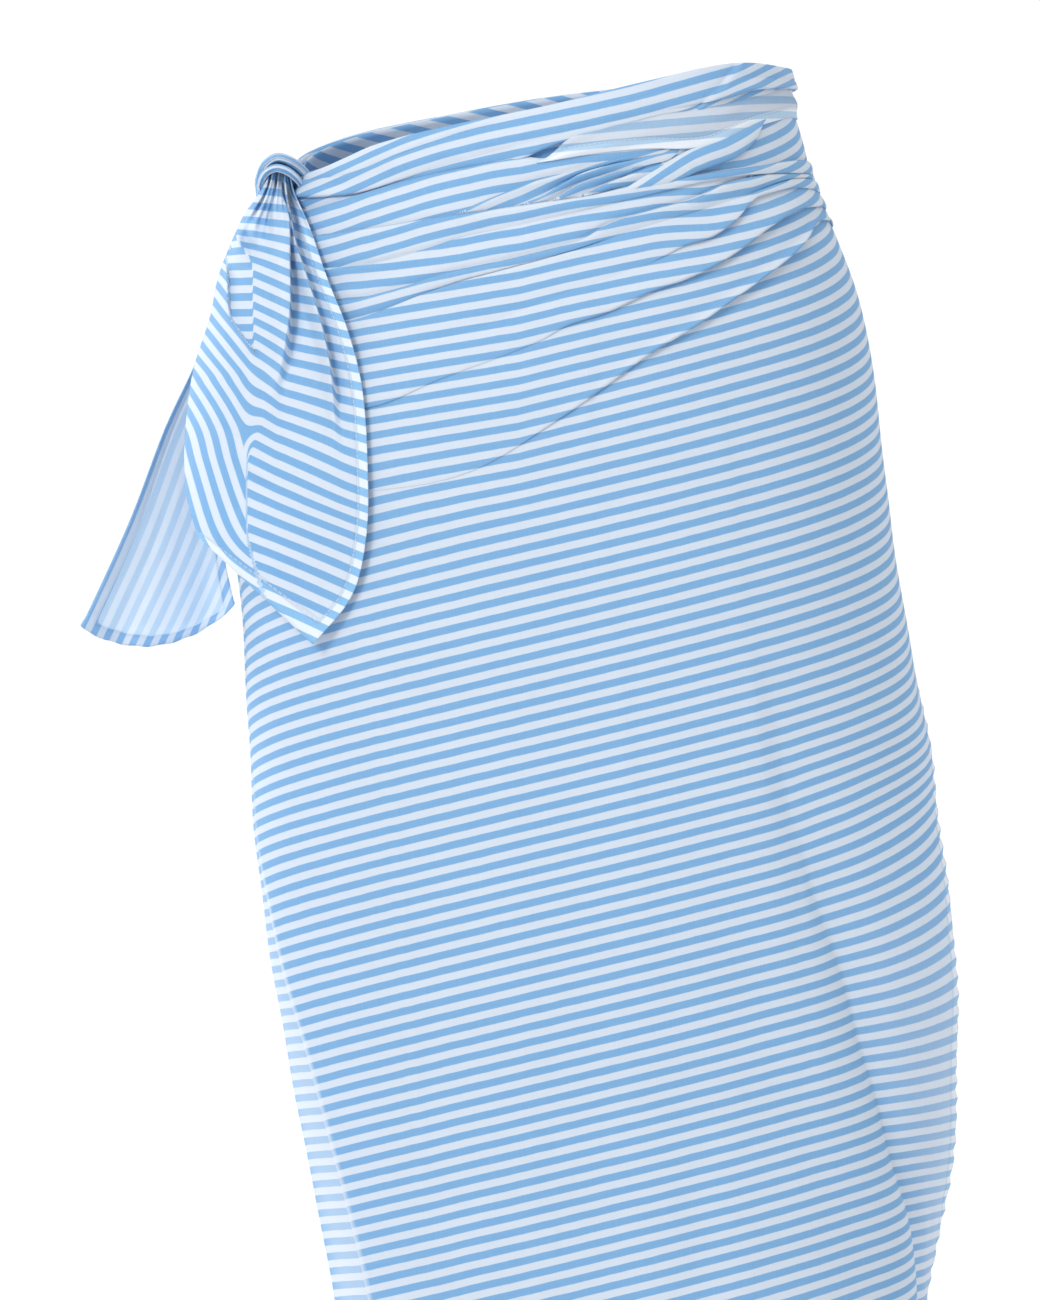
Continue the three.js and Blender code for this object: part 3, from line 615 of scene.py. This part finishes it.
# the waist bands
waistBands = {
    # from angle, to angle, number of columns
    "topColumns": [(-88, 27, 112), (27.3, 62, 118), (63.5, 111.8, 32)],
    "topRows": [8, 8, 16],
    "topSwell": [0.3, 0.5, 0.8],
    # height and depth from the top edge
    "topTurn": [(-9, -3.6), (-5, -3.4), (-2, -2.7), (-0.4, -1.4)],
    # rows, columns
    "hemmedGrid": (30, 120),
    "crossGrid": (26, 80),
    "topFolds": [
        (False, 5, [
            ((-92,), 8, 1, 1), (-115, 9, 1, 1), (-80, 21, 0.9, 1), (-50, 32, 0.7, 1), (-20, 39), (40, 50),
            (90, 62), ((112,), 62),
        ]),
        (True, 7, [
            ((-92,), -2, 1.6, 4), (-120, -2, 1.8, 4), (-105, 0, 1.4, 3), (-85, 6, 0.5, 1), (-60, 14),
            (0, 30), (60, 44), (90, 51, 1.2, 2), (110, 57, 2, 4), ((112,), 58, 2, 5),
        ]),
    ],
    # height, x of a short steep pleat at the far end of the top band
    "pleatLine": [(30, 66), (46, 80), (58, 93), (69, 103), (80, 112)],
    "pleatRise": 1.3,
    # x, climb of the stripes
    "topClimb": [
        (-150, 0.55), (-105, 0.42), (-79, 0.34), (-52, 0.27), (-26, 0.22), (0, 0.21), (27, 0.22),
        (53, 0.28), (80, 0.36), (110, 0.34), (135, 0.3),
    ],
    "hemmedClimb": [(-30, 0.12), (30, 0.10), (70, 0.10), (100, 0.10), (135, 0.02)],
    "crossUpper": [
        (30, -2), (36.6, 1.7), (52, 11.2), (70.4, 21.5), (79, 24.8), (93, 29), (104, 33.6), (117.5, 40.5),
        (124, 43),
    ],
    "crossLower": [
        (30, -3), (40, 0), (60, 4), (76, 10.6), (88, 15), (98.5, 19), (109.5, 27), (114, 32.5), (118, 38.5),
        (124, 42),
    ],
}


def climbed(table, x):  # height that stripes gain from x = 0
    grid = np.linspace(-170, 170, 341)
    slope = curve(table, 1, grid)
    total = np.concatenate([[0], np.cumsum((slope[1:] + slope[:-1]) / 2)])
    return np.interp(x, grid, total - np.interp(0, grid, total))


def turnedIn(top, z, offset, turn):  # the cloth turns in over the top edge
    z = np.concatenate([[top + dz for dz, _ in turn], z])
    return z, np.concatenate([[offset[0] + dn for _, dn in turn], offset])


def buildTopBand():
    angle = np.concatenate([np.linspace(*part) for part in waistBands["topColumns"]])
    out = figure["outerLayer"] + figure["cloth"] + figure["layerGap"]
    top = topEdge(angle)
    x0 = bandX(angle)
    under = 1 - ease(-30, -5, x0)
    low = bandLow("topBand", angle) - mix(0, 5, under) + 8.5 * ease(-127, -137, x0)
    folds = foldLines(waistBands["topFolds"], angle, out, top, 0.8)
    z, rise, tuck = pulledRows(top, folds, low, waistBands["topRows"], waistBands["topSwell"])
    share = (top - z) / (top - low)
    bulge = 2.8 * np.sin(np.pi * mix(0.18, 1, share)) ** 0.8
    sunk = -2.4 * under * ease(0.45, 0.9, share)
    tucked = -1.3 * ease(0.93, 1, share) * (1 - under)
    ripple = 0.3 * np.sin(angle / 4.1 + z / 5) * np.sin(z / 7 + angle / 11)
    beyond = np.minimum(x0, 140) - curve(waistBands["pleatLine"], 1, z)
    pleat = waistBands["pleatRise"] * ease(-1.2, 1.2, beyond) * fade(beyond, 9)
    offset = out + bulge + rise + sunk + tucked + ripple + pleat - 0.8 * fade(np.abs(beyond + 1.6), 2.6)
    tuck = tuck - 0.3 * np.clip(beyond, 0, 40)
    turn = waistBands["topTurn"]
    z, offset = turnedIn(top, z, offset, turn)
    tuck = np.concatenate([[tuck[0]] * len(turn), tuck])
    x, y = figurePoint(angle, z, offset)
    length = arcLength(angle, z, out)
    reach = np.where(angle > 88, x0 + (angle - 88) * 2, x0)
    across = z - climbed(waistBands["topClimb"], np.clip(reach, -168, 168)) + tuck
    return makeCloth("top_band_cloth", x, y, z, length, across, nodes=["top_band"])


def buildHemmedBand():
    rows, columns = waistBands["hemmedGrid"]
    angle = np.linspace(-6, 111.8, columns)
    out = figure["outerLayer"] + figure["cloth"] + 0.3
    low = bandLow("hemmedBand", angle)
    opened = ease(-6, 6, angle)
    high = mix(low + 1.0, bandLow("topBand", angle) + 3, opened)
    v = np.linspace(0, 1, rows)[:, None]
    z = mix(high, low, v)
    bulge = 1.9 * np.sin(np.pi * mix(0.1, 0.93, v)) ** 0.7 + 0.5 * np.sin(v * 9 + angle / 9)
    x, y = figurePoint(angle, z, out + bulge * (0.3 + 0.7 * opened))
    length = arcLength(angle, z, out)
    across = z - climbed(waistBands["hemmedClimb"], bandX(angle)) + 2
    return makeCloth(
        "hemmed_band_cloth", x, y, z, length, across, length, z - low, reverse=True, nodes=["hemmed_band"],
    )


def buildCrossFold():
    out = figure["outerLayer"] + figure["cloth"] + figure["layerGap"]
    start, end = (float(frontAngle(p, 20, out)) for p in (31, 123))
    rows, columns = waistBands["crossGrid"]
    angle = np.linspace(start, end, columns)
    x0 = figurePoint(angle, np.full_like(angle, 22.0), out)[0]
    high = curve(waistBands["crossUpper"], 1, x0)
    low = curve(waistBands["crossLower"], 1, x0)
    v = np.linspace(-0.12, 1, rows)[:, None]
    z = mix(high, low, np.clip(v, 0, 1)) - np.clip(-v, 0, 1) * 6
    ends = np.sin(np.pi * np.linspace(0, 1, columns)) ** 0.5
    bulge = (0.6 + 2.6 * np.sin(np.pi * np.clip(mix(0.06, 1.0, v), 0, 1)) ** 0.6) * ends - 1.4 * (v < 0)
    x, y = figurePoint(angle, z, out + bulge)
    length = arcLength(angle, z, out)
    across = z - high - 0.06 * (x0 - 80) + 3
    return makeCloth("cross_fold_cloth", x, y, z, length, across, nodes=["cross_fold"])


topBandPiece = buildTopBand()
hemmedBandPiece = buildHemmedBand()
crossFoldPiece = buildCrossFold()
print("waist bands made")

# the back and the inner turn
backSheet = {
    "start": 112,
    "end": 275.75,
    "columns": 130,
    "rows": [14, 10, 10, 10, 150],
    "swell": [1, 1.4, 1.4, 1.4, 0],
    "folds": [
        (True, 14, [
            ((112,), 2, 3, 14), ((126,), 2, 3.2, 13), ((165,), -4, 2.6, 9), ((205,), -14, 2.4, 5),
            ((262,), -34, 2.2, 1), ((277,), -38, 1.5),
        ]),
        (True, 14, [
            ((112,), -8, 3, 12), ((124,), -8, 3.2, 11), ((165,), -26, 2.6, 7), ((205,), -44, 2.2, 4),
            ((258,), -72, 1.6), ((277,), -80, 0.8),
        ]),
        (True, 13, [
            ((112,), -20, 2.8, 10), ((122,), -22, 3, 9), ((155,), -50, 2.4, 5), ((190,), -82, 1.6, 2),
            ((240,), -120, 0.3), ((277,), -138),
        ]),
        (True, 12, [
            ((112,), -36, 2.6, 9), ((122,), -44, 2.8, 8), ((150,), -90, 2, 4), ((180,), -135, 0.8, 1),
            ((215,), -175), ((277,), -210),
        ]),
    ],
    # angle, reach in degrees, height of the hanging folds
    "drapes": [(128, 9, 7), (152, 8, 5), (178, 10, 8), (205, 8, 6), (232, 10, 7), (258, 7, 4)],
    "stripeClimb": 0.06,
    "gatheredClimb": 26,
}


def slipUnder(parts, steps):  # one more column goes under the piece beside it
    return [np.hstack([part, part[:, -1:] + step]) for part, step in zip(parts, steps)]


def buildBack():
    columns = backSheet["columns"]
    u = np.linspace(0, 1, columns)
    plain = mix(backSheet["start"], backSheet["end"], u)
    out = figure["cloth"]
    top = topEdge(plain)
    folds = foldLines(backSheet["folds"], plain, out, top)
    hem = np.full(columns, float(figure["hem"]))
    z, rise, tuck = pulledRows(top, folds, hem, backSheet["rows"], backSheet["swell"])
    end = 360 + curve(figure["leftCrease"], 1, z)
    angle = mix(backSheet["start"], end, u[None, :])
    layer = out + mix(0, figure["outerLayer"], ease(200, 272, angle))
    growth = ease(260, 800, -z)
    wider = 1 + growth * 0.3
    drape = sum(height * hump((angle - at) / (reach * wider)) for at, reach, height in backSheet["drapes"])
    leftRise = curve(figure["leftCrease"], 2, z) * creaseShape(angle - end, 20)
    length = arcLength(angle, z, out)
    length = length - length[:, -1:]
    # the stripes run on from the front, so its arc up to the crease is measured too
    steps = np.linspace(0, 1, 60)
    side = mix(curve(figure["leftCrease"], 1, z[:, -1:]), 0, steps)
    sideLength = arcLength(side, z[:, -1:] + 0 * steps, figure["outerLayer"] + out)[:, :1]
    climb = backSheet["stripeClimb"] * length - backSheet["gatheredClimb"] * ease(166, 112, angle)
    across = z - stripeRise(sideLength, z[:, -1:]) - climb + tuck
    offset = layer + rise + drape * growth + leftRise + slowRipple(length + sideLength, z)
    backSheet["edge"] = (z[:, 0], offset[:, 0], across[:, 0])
    parts = slipUnder((angle, z, offset, length, across), (0.5, 0, -0.7, 1.5, -0.2))
    angle, z, offset, length, across = parts
    x, y = figurePoint(angle, z, offset)
    # painted backlight: the back is painted lighter close to the left crease, low down
    backlitShare = 0.75 * ease(-24, -8, angle - angle[:, -1:]) * ease(290, 500, -z)
    return makeCloth(
        "back_sheet", x, y, z, length, across, length, z - z[-1:], backlitShare=backlitShare,
        nodes=[f"back_wrap_{part}" for part in figure["parts"]],
    )


underSheet = {
    "start": -58,
    "end": 111.7,
    "columns": 70,
    "rows": 120,
    "topDrop": 5,
    "hemLift": 6,
}


def buildUnder():
    plain = np.linspace(underSheet["start"], underSheet["end"], underSheet["columns"])
    v = np.linspace(0, 1, underSheet["rows"])[:, None]
    z = mix(topEdge(plain) - underSheet["topDrop"], figure["hem"] + underSheet["hemLift"], v)
    angle = np.broadcast_to(plain, z.shape)
    length = arcLength(angle, z, 1)
    # at the side it runs on into the back without a step
    edgeZ, edgeOff, edgeAcross = backSheet["edge"]
    order = np.argsort(edgeZ)
    meet = ease(92, underSheet["end"], angle)
    toOffset = np.interp(z, edgeZ[order], edgeOff[order])
    toAcross = np.interp(z[:, -1:], edgeZ[order], edgeAcross[order])
    offset = mix(figure["cloth"] + 0.25 * np.sin(length / 21 + z / 37), toOffset, meet)
    across = toAcross + (z - z[:, -1:]) - 0.2 * (length - length[:, -1:])
    parts = slipUnder((angle, z, offset, length, across), (1.2, 0, -0.8, 3, -0.5))
    angle, z, offset, length, across = parts
    x, y = figurePoint(angle, z, offset)
    return makeCloth(
        "under_sheet", x, y, z, length, across, length, z - z[-1:],
        nodes=[f"under_wrap_{part}" for part in figure["parts"]],
    )


backBand = {
    # angle, lower edge, swell
    "edge": [
        (106, 52, 1.6), (112, 42, 2.4), (119, 20, 3), (128, 3, 3.4), (150, -3, 3.6), (200, 4, 4),
        (240, -2, 4.4), (262, -6, 4.2), (268, -2, 3),
    ],
    "start": 107,
    "end": 267,
    "lap": 2.8,
    "grid": (44, 130),
    "gathers": 4,
    "gatherHeight": 1.4,
    "turn": [(-8, -3.6), (-4.5, -3.2), (-1.8, -2.5), (-0.3, -1.2)],
}


def buildBackBand():
    rows, columns = backBand["grid"]
    angle = np.linspace(backBand["start"], backBand["end"], columns)
    lap = 1 - ease(108, 122, angle)
    low = curve(backBand["edge"], 1, angle)
    high = topEdge(angle)
    v = np.linspace(0, 1, rows)[:, None]
    z = mix(high, low, v)
    layer = mix(0, figure["outerLayer"], ease(200, 272, angle)) + 2 * figure["cloth"] + figure["layerGap"]
    gathers = v * backBand["gathers"] + 0.35 * np.sin(angle / 23)
    saw = np.mod(gathers, 1)
    gather = backBand["gatherHeight"] * np.where(saw < 0.8, saw / 0.8, (1 - saw) / 0.2)
    bulge = curve(backBand["edge"], 2, angle) * np.sin(np.pi * mix(0.12, 0.95, v)) + gather
    ripple = 0.3 * np.sin(angle / 5 + z / 4)
    offset = layer + bulge + ripple + backBand["lap"] * lap - 2.2 * fade(angle - backBand["start"], 0.8)
    z, offset = turnedIn(high, z, offset, backBand["turn"])
    x, y = figurePoint(angle, z, offset)
    length = arcLength(angle, z, 3)
    step = np.floor(np.concatenate([np.zeros((len(backBand["turn"]), len(angle))), gathers]))
    across = z - mix(high, low, 0.5) - step * 5
    return makeCloth("back_band_cloth", x, y, z, length, across, nodes=["back_band"])


backPiece = buildBack()
underPiece = buildUnder()
backBandPiece = buildBackBand()
print("back and inner turns made")

# the knot
knotTurns = [
    # half width, half thickness, path over the knot
    (6.6, 2.5, [
        (-161, -22, 2), (-161.5, -29, 9), (-158.5, -33, 15.8), (-152.5, -34.5, 19.6), (-146.5, -34.5, 18.6),
        (-141, -33, 15.4), (-136.3, -31, 11), (-133, -27, 5.5), (-134, -20, 0),
    ]),
    (5, 2.2, [
        (-161, -28, 1), (-161, -34, 6.5), (-157.8, -38.5, 11.6), (-152.3, -40.5, 13.9), (-146.5, -40, 12.3),
        (-141.6, -38, 8.6), (-138.2, -34, 3.8), (-138.5, -27, -1),
    ]),
    (8.2, 3.1, [
        (-162, -10, 0), (-161.5, -14, 9), (-156.5, -18, 17.4), (-148.5, -18.5, 18.4), (-141.5, -16, 13.4),
        (-137, -11, 7), (-138, -5, -1),
    ]),
    (6.4, 2.9, [
        (-160, 6, 2), (-159.5, 2, 9), (-154.5, -2, 15.6), (-147, -3, 16.4), (-141, -1, 12), (-138, 4, 5),
    ]),
    (7.5, 7.5, [(-151.5, -26, -12), (-152.5, -28, -3), (-152.5, -29, 6), (-152, -28, 14)]),
    (8.5, 6.5, [(-150, 2, -6), (-152, -4, 4), (-152, -12, 11), (-151, -22, 12), (-150, -27, 6)]),
]


def smoothPath(points, count):
    points = np.array(points, float)
    share = np.concatenate([[0], np.cumsum(np.linalg.norm(np.diff(points, axis=0), axis=1))])
    table = np.column_stack([share, points])
    at = np.linspace(0, share[-1], count)
    return np.column_stack([curve(table, c, at) for c in (1, 2, 3)]), at


knotGrid = (64, 72)


def buildKnot():
    pieces = []
    for n, (wide, thick, points) in enumerate(knotTurns):
        path, length = smoothPath(points, knotGrid[0])
        ahead = np.gradient(path, axis=0)
        ahead /= np.linalg.norm(ahead, axis=1)[:, None]
        away = np.array([0.0, 1.0, 0.0]) if n < 4 else np.array([1.0, 0.25, 0.1])
        side = away - ahead * (ahead @ away)[:, None]
        side /= np.linalg.norm(side, axis=1)[:, None]
        outward = np.cross(ahead, side)
        turnAngle = np.linspace(-np.pi, np.pi, knotGrid[1])[None, :]
        share = (length / length[-1])[:, None]
        slim = 0.55 + 0.45 * np.sin(np.pi * np.clip(share, 0.02, 0.98)) ** 0.6
        pleats = 1 + 0.085 * np.sin(5 * turnAngle + n + 2.2 * share)
        pleats = pleats + 0.05 * np.sin(11 * turnAngle - 3 * share + n)
        pleats = pleats + 0.03 * np.sin(share * 17 + 3 * turnAngle)
        up = thick * slim * np.sign(np.cos(turnAngle)) * np.abs(np.cos(turnAngle)) ** 0.8 * pleats
        out = wide * slim * np.sin(turnAngle) * pleats
        spots = path[:, None, :] + up[..., None] * outward[:, None, :] + out[..., None] * side[:, None, :]
        around = (wide + thick) * 0.78 * turnAngle + n * 2.6
        along = length[:, None]
        if n >= 4:
            around, along = along, around
        stands = ["knot"] if n == 0 else ()
        xyz = (spots[..., k] for k in range(3))
        pieces.append(makeCloth(f"knot_turn_{n + 1}", *xyz, along, around, nodes=stands, closed=True))
    return pieces


knotPieces = buildKnot()
print("knot made")

# the two hanging ends
frontEnd = {
    # from share, to share, number of columns
    "columns": [(0, 0.22, 28), (0.225, 0.42, 44), (0.427, 0.5, 12), (0.506, 1, 106)],
    # share down, left x, left z, right x, right z, left off the figure, right off the figure
    "edges": [
        (-0.1, -157, 14, -146, 13.5, 24, 15), (0, -162, 0.5, -143, 0.5, 26, 11),
        (0.12, -176, -18, -134, -20, 29, 10), (0.25, -184, -38, -124, -48, 29, 10),
        (0.4, -189, -66, -113, -76, 26, 10), (0.55, -199, -98, -105, -108, 28, 9),
        (0.7, -203, -135, -102, -150, 28, 9), (0.85, -202, -163, -103, -190, 31, 9),
        (0.93, -199, -176, -111, -221, 34, 10), (1, -195, -188, -132, -247, 36, 14),
    ],
    # height, x of the fold lines that run down the cloth; the left side of each lies in front
    "mainFold": [
        (15, -150), (0, -149), (-8, -146.5), (-16, -144.8), (-39, -144.2), (-62, -143.9), (-86, -145.8),
        (-99, -147.6), (-105, -149.6), (-140, -152), (-250, -158),
    ],
    "edgeFold": [
        (15, -147), (0, -146.6), (-12, -144.2), (-28, -141), (-47, -134.8), (-67, -128.5), (-86, -123.8),
        (-110, -119.8), (-125, -118.3), (-149, -115.9), (-170, -111), (-250, -100),
    ],
    "crease": [
        (15, -196), (-8, -184), (-19, -177.5), (-31, -170), (-39, -165.6), (-55, -165), (-86, -164.6),
        (-127, -166.2), (-147, -167.8), (-180, -168), (-193, -166.7), (-250, -150),
    ],
    "creaseSoft": [
        (15, 0.35), (-78, 0.35), (-92, 5), (-105, 8), (-122, 8), (-136, 4), (-150, 0.4), (-250, 0.4),
    ],
    "sideFold": [
        (15, -190), (0, -188), (-39, -179.5), (-67, -177.2), (-76, -172), (-86, -164.6), (-100, -150),
    ],
    "rows": 180,
    "length": 230,
    "mainRise": 6.5,
    "edgeRise": 5.5,
    "sunk": 2.6,
    # height, climb of the stripes in the three panels
    "climb": [
        (15, 0.1, 0.12, 0.5), (-15, 0.15, 0.12, 0.5), (-40, 0.40, 0.15, 0.45), (-65, 0.46, 0.18, 0.3),
        (-85, 0.58, 0.2, 0.22), (-105, 0.60, 0.24, 0.2), (-125, 0.5, 0.32, 0.24), (-160, 0.42, 0.40, 0.32),
        (-190, 0.34, 0.36, 0.34), (-250, 0.42, 0.42, 0.42),
    ],
    # height, climb of the stripes left of the crease, cloth hidden in the crease
    "leftClimb": [
        (15, 0.5, -17), (0, 0.7, -16), (-40, 0.95, -10), (-86, 0.97, 0), (-105, 0.98, 1.5), (-127, 1, 6),
        (-147, 1.02, 16.6), (-168, 0.98, 27), (-190, 0.86, 36), (-205, 0.66, 38), (-250, 0.5, 38),
    ],
}


def buildFrontEnd():
    u = np.concatenate([np.linspace(*part) for part in frontEnd["columns"]])[None, :]
    v = np.linspace(-0.1, 1, frontEnd["rows"])[:, None]
    rows = frontEnd["edges"]
    leftX, leftZ, rightX, rightZ, leftOut, rightOut = (curve(rows, c, v) for c in range(1, 7))
    x = mix(leftX, rightX, u)
    z = mix(leftZ, rightZ, u)
    wide = rightX - leftX
    names = ("mainFold", "edgeFold", "crease", "sideFold")
    foldX, edgeX, creaseX, sideX = (curve(frontEnd[name], 1, z) for name in names)
    begin = 1 - ease(-6, 8, z)
    mainShown = begin * (1 - ease(66, 140, -z))
    edgeShown = begin * (1 - ease(96, 160, -z))
    mainSoft = 0.35 + 5.5 * ease(62, 125, -z)
    edgeSoft = 0.35 + 5.0 * ease(92, 150, -z)
    creaseShown = ease(28, 40, -z) * (1 - ease(76, 90, -z))
    creaseShown = creaseShown + 0.8 * ease(138, 150, -z) * (1 - ease(184, 200, -z))
    fromMain = x - foldX
    fromEdge = x - edgeX
    fromCrease = x - creaseX
    isMiddle = ease(-mainSoft, mainSoft, fromMain)
    isRight = ease(-edgeSoft, edgeSoft, fromEdge)
    rise = frontEnd["mainRise"] * mainShown * (1 - isMiddle) * fallAway(-fromMain, 12)
    rise = rise - frontEnd["sunk"] * mainShown * isMiddle * fallAway(fromMain, 8)
    rise = rise + frontEnd["edgeRise"] * edgeShown * isMiddle * (1 - isRight) * fallAway(-fromEdge, 8)
    rise = rise - frontEnd["sunk"] * edgeShown * isRight * fallAway(fromEdge, 7)
    besideCrease = ease(-0.35, 0.35, fromCrease) * fade(fromCrease, 8)
    rise = rise + 1.4 * creaseShown * besideCrease
    # the side panel lies over the panel beside the crease, down to where both end
    sideShown = ease(34, 46, -z) * (1 - ease(84, 92, -z))
    isSide = 1 - ease(-0.35, 0.35, x - sideX)
    rise = rise + 2.0 * sideShown * isSide * fallAway(sideX - x, 9) * ease(0, 0.1, u)
    lowBend = ease(118, 130, -z) * (1 - ease(150, 160, -z))
    rise = rise + 1.6 * lowBend * hump((x + 186 + (z + 127) * 0.9) / 6)
    # a small crumple on the left and soft pleats under the knot
    along = ((x + 177) * 8 - (z + 21) * 15) / 17
    off = ((x + 177) * 15 + (z + 21) * 8) / 17
    calm = ease(0, 0.16, u)
    rise = rise + calm * 2.4 * hump((along - 9) / 12) * (hump(off / 5) - 0.8 * hump((off - 6) / 5))
    rise = rise + calm * 1.6 * hump((along - 4) / 10) * hump((off - 12) / 5)
    neck = 1 - ease(0, 42, -z)
    rise = rise + calm * neck * (1.0 * np.sin(u * 25 + 3 * v) + 0.6 * np.sin(u * 49 + 1))
    rise = rise + 0.6 * np.sin(x / 13 + z / 21) + 0.5 * np.sin(z / 15 - x / 27 + 2)
    stand = mix(leftOut, rightOut, ease(0, 1, u)) + rise + 1.3
    px, py = figurePoint(frontAngle(x, z, stand), z, stand)

    climb, middleClimb, rightClimb = (curve(frontEnd["climb"], c, z) for c in (1, 2, 3))
    main = 0.92 * z + climb * np.minimum(fromMain, 0)
    main = main + middleClimb * np.clip(fromMain, 0, edgeX - foldX) + rightClimb * np.clip(fromEdge, 0, None)
    main = main + 3.5 * mainShown * isMiddle + 4.3 * edgeShown * isRight
    atCrease = 0.92 * z + climb * np.minimum(creaseX - foldX, 0)
    sideClimb, hidden = (curve(frontEnd["leftClimb"], c, z) for c in (1, 2))
    side = atCrease + hidden + sideClimb * fromCrease
    panel = atCrease + 4.1
    upperSide = 1 - ease(-1, 1, x - sideX - 3)
    leftPart = mix(panel, side, np.where(z < -86, 1, np.where(z < -30, isSide, upperSide)))
    creaseSoft = np.maximum(curve(frontEnd["creaseSoft"], 1, z), 0.4)
    across = mix(leftPart, main, ease(-creaseSoft, creaseSoft, fromCrease))
    rightEdge = (1 - u) * np.hypot(wide, rightZ - leftZ)
    endEdge = (1 - v) * frontEnd["length"]
    hemOff = np.minimum(rightEdge, endEdge)
    hemAlong = np.where(endEdge < rightEdge, x, z)
    return makeCloth("front_end_cloth", px, py, z, x, across, hemAlong, hemOff, nodes=["front_tail"])


backEnd = {
    # share down, left x, y, z, right x, y, z
    "edges": [
        (0, -153, 0.95, 19, -147, 0.95, 7), (0.2, -180, 14, -33, -166, 42, -38),
        (0.4, -195, 21, -84, -180, 62, -92), (0.6, -215, 25, -128, -186, 74, -140),
        (0.8, -235, 29, -180, -184, 82, -190), (1, -261.5, 32, -238, -177, 86, -226),
    ],
    "grid": (160, 80),
    "length": 250,
    "sag": 17,
    "curl": 8,
    "stripesAcross": 1.07,
    "slant": 0.42,
}


def buildBackEnd():
    rows, columns = backEnd["grid"]
    u = np.linspace(0, 1, columns)[None, :]
    v = np.linspace(0, 1, rows)[:, None]
    leftX, leftY, leftZ, rightX, rightY, rightZ = (curve(backEnd["edges"], c, v) for c in range(1, 7))
    bow = np.sin(np.pi * u) ** 0.75
    wave = np.sin(3 * np.pi * u) * backEnd["curl"] * 0.35 * v + 0.7 * np.sin(7 * np.pi * u + 3 * v) * v
    x = mix(leftX, rightX, u)
    y = mix(leftY, rightY, u) + bow * backEnd["curl"] * v + wave
    z = mix(leftZ, rightZ, u) - bow * backEnd["sag"] * v**3
    y = y - 5 * ease(0.955, 1, v) - 4 * ease(0.93, 1, u) * v
    z = z + 1.5 * ease(0.975, 1, v) + 0.3 * np.sin(u * 40) * ease(0.93, 1, v)
    wide = np.hypot(np.hypot(rightX - leftX, rightY - leftY), rightZ - leftZ)
    across = backEnd["stripesAcross"] * (x - leftX - backEnd["slant"] * (z - leftZ))
    across = across + 1.2 * np.sin(v * 5) * bow
    down = v * backEnd["length"]
    sideEdge = np.minimum(u * wide, (1 - u) * wide)
    endEdge = (1 - v) * backEnd["length"]
    hemOff = np.minimum(sideEdge, endEdge)
    hemAlong = np.where(endEdge < sideEdge, across, down)
    flipped = (part[:, ::-1] for part in (x, y, z, down, across, hemAlong, hemOff))
    # painted backlight: the whole hanging end is painted lighter
    return makeCloth("back_end_cloth", *flipped, backlitShare=1.1, reverse=True, nodes=["back_tail"])


frontEndPiece = buildFrontEnd()
backEndPiece = buildBackEnd()
print("hanging ends made")

# floor, light and camera
studio = {
    "middle": (-0.019, 0.0, -0.250),
    "viewHeight": 0.715,
    "distance": 10.0,
    "floor": -1.05,
    "floorRadius": 4.5,
    "sky": 0.60,
    "skyBehind": 1.05,
    "lightColour": (0.97, 0.985, 1),
    "paper": (0.86, 0.86, 0.87, 1),
    # place, size, strength in watts
    "lights": {
        "keyLight": ((-2.4, -3.2, 1.7), 1.4, 84),
        "topLight": ((0.2, -1.2, 2.6), 1.6, 22),
        "backLight": ((-1.9, 2.1, 0.5), 1.2, 30),
        "rightRim": ((2.2, 1.5, -0.3), 1.2, 12),
        "leftRim": ((-2.5, 1.3, -0.5), 1.2, 16),
        "rightFill": ((1.9, -1.6, -0.8), 1.0, 7),
    },
}


def buildStudio():
    bm = bmesh.new()
    bmesh.ops.create_circle(bm, cap_ends=True, segments=96, radius=studio["floorRadius"])
    bmesh.ops.translate(bm, verts=bm.verts[:], vec=(0, 0, studio["floor"]))
    mesh = bpy.data.meshes.new("studio_floor")
    bm.to_mesh(mesh)
    bm.free()
    floor = addObject("studio_floor", mesh)
    paper = bpy.data.materials.new("pale_paper")
    paper.use_nodes = True
    surface = paper.node_tree.nodes["Principled BSDF"]
    setInputs(surface, {"Base Color": studio["paper"], "Roughness": 0.9})
    mesh.materials.append(paper)

    world = bpy.data.worlds.new("soft_room")
    world.use_nodes = True
    tree = world.node_tree
    where = addNode(tree, "ShaderNodeTexCoord")
    split = addNode(tree, "ShaderNodeSeparateXYZ")
    tree.links.new(where.outputs["Generated"], split.inputs[0])
    behind = band(tree, split.outputs[1], 0.76, 0.96)
    brighter = calculate(tree, "MULTIPLY", behind, studio["skyBehind"] - studio["sky"])
    strength = calculate(tree, "ADD", brighter, studio["sky"])
    tree.links.new(strength, tree.nodes["Background"].inputs["Strength"])
    setInputs(tree.nodes["Background"], {"Color": (1, 1, 1, 1)})
    bpy.context.scene.world = world

    for name, (place, size, power) in studio["lights"].items():
        data = bpy.data.lights.new(name, "AREA")
        data.size = size
        data.energy = power
        data.color = studio["lightColour"]
        lamp = addObject(name, data)
        lamp.location = place
        aim = np.array(studio["middle"]) - np.array(place)
        lamp.rotation_euler = (math.acos(-aim[2] / np.linalg.norm(aim)), 0, math.atan2(-aim[0], aim[1]))

    data = bpy.data.cameras.new("camera")
    data.lens = data.sensor_width * studio["distance"] / studio["viewHeight"]
    data.clip_end = 100
    camera = addObject("camera", data)
    x, y, z = studio["middle"]
    camera.location = (x, y - studio["distance"], z)
    camera.rotation_euler = (math.radians(90), 0, 0)
    bpy.context.scene.camera = camera
    bpy.context.scene.view_settings.view_transform = "Standard"


buildStudio()
print("studio made")
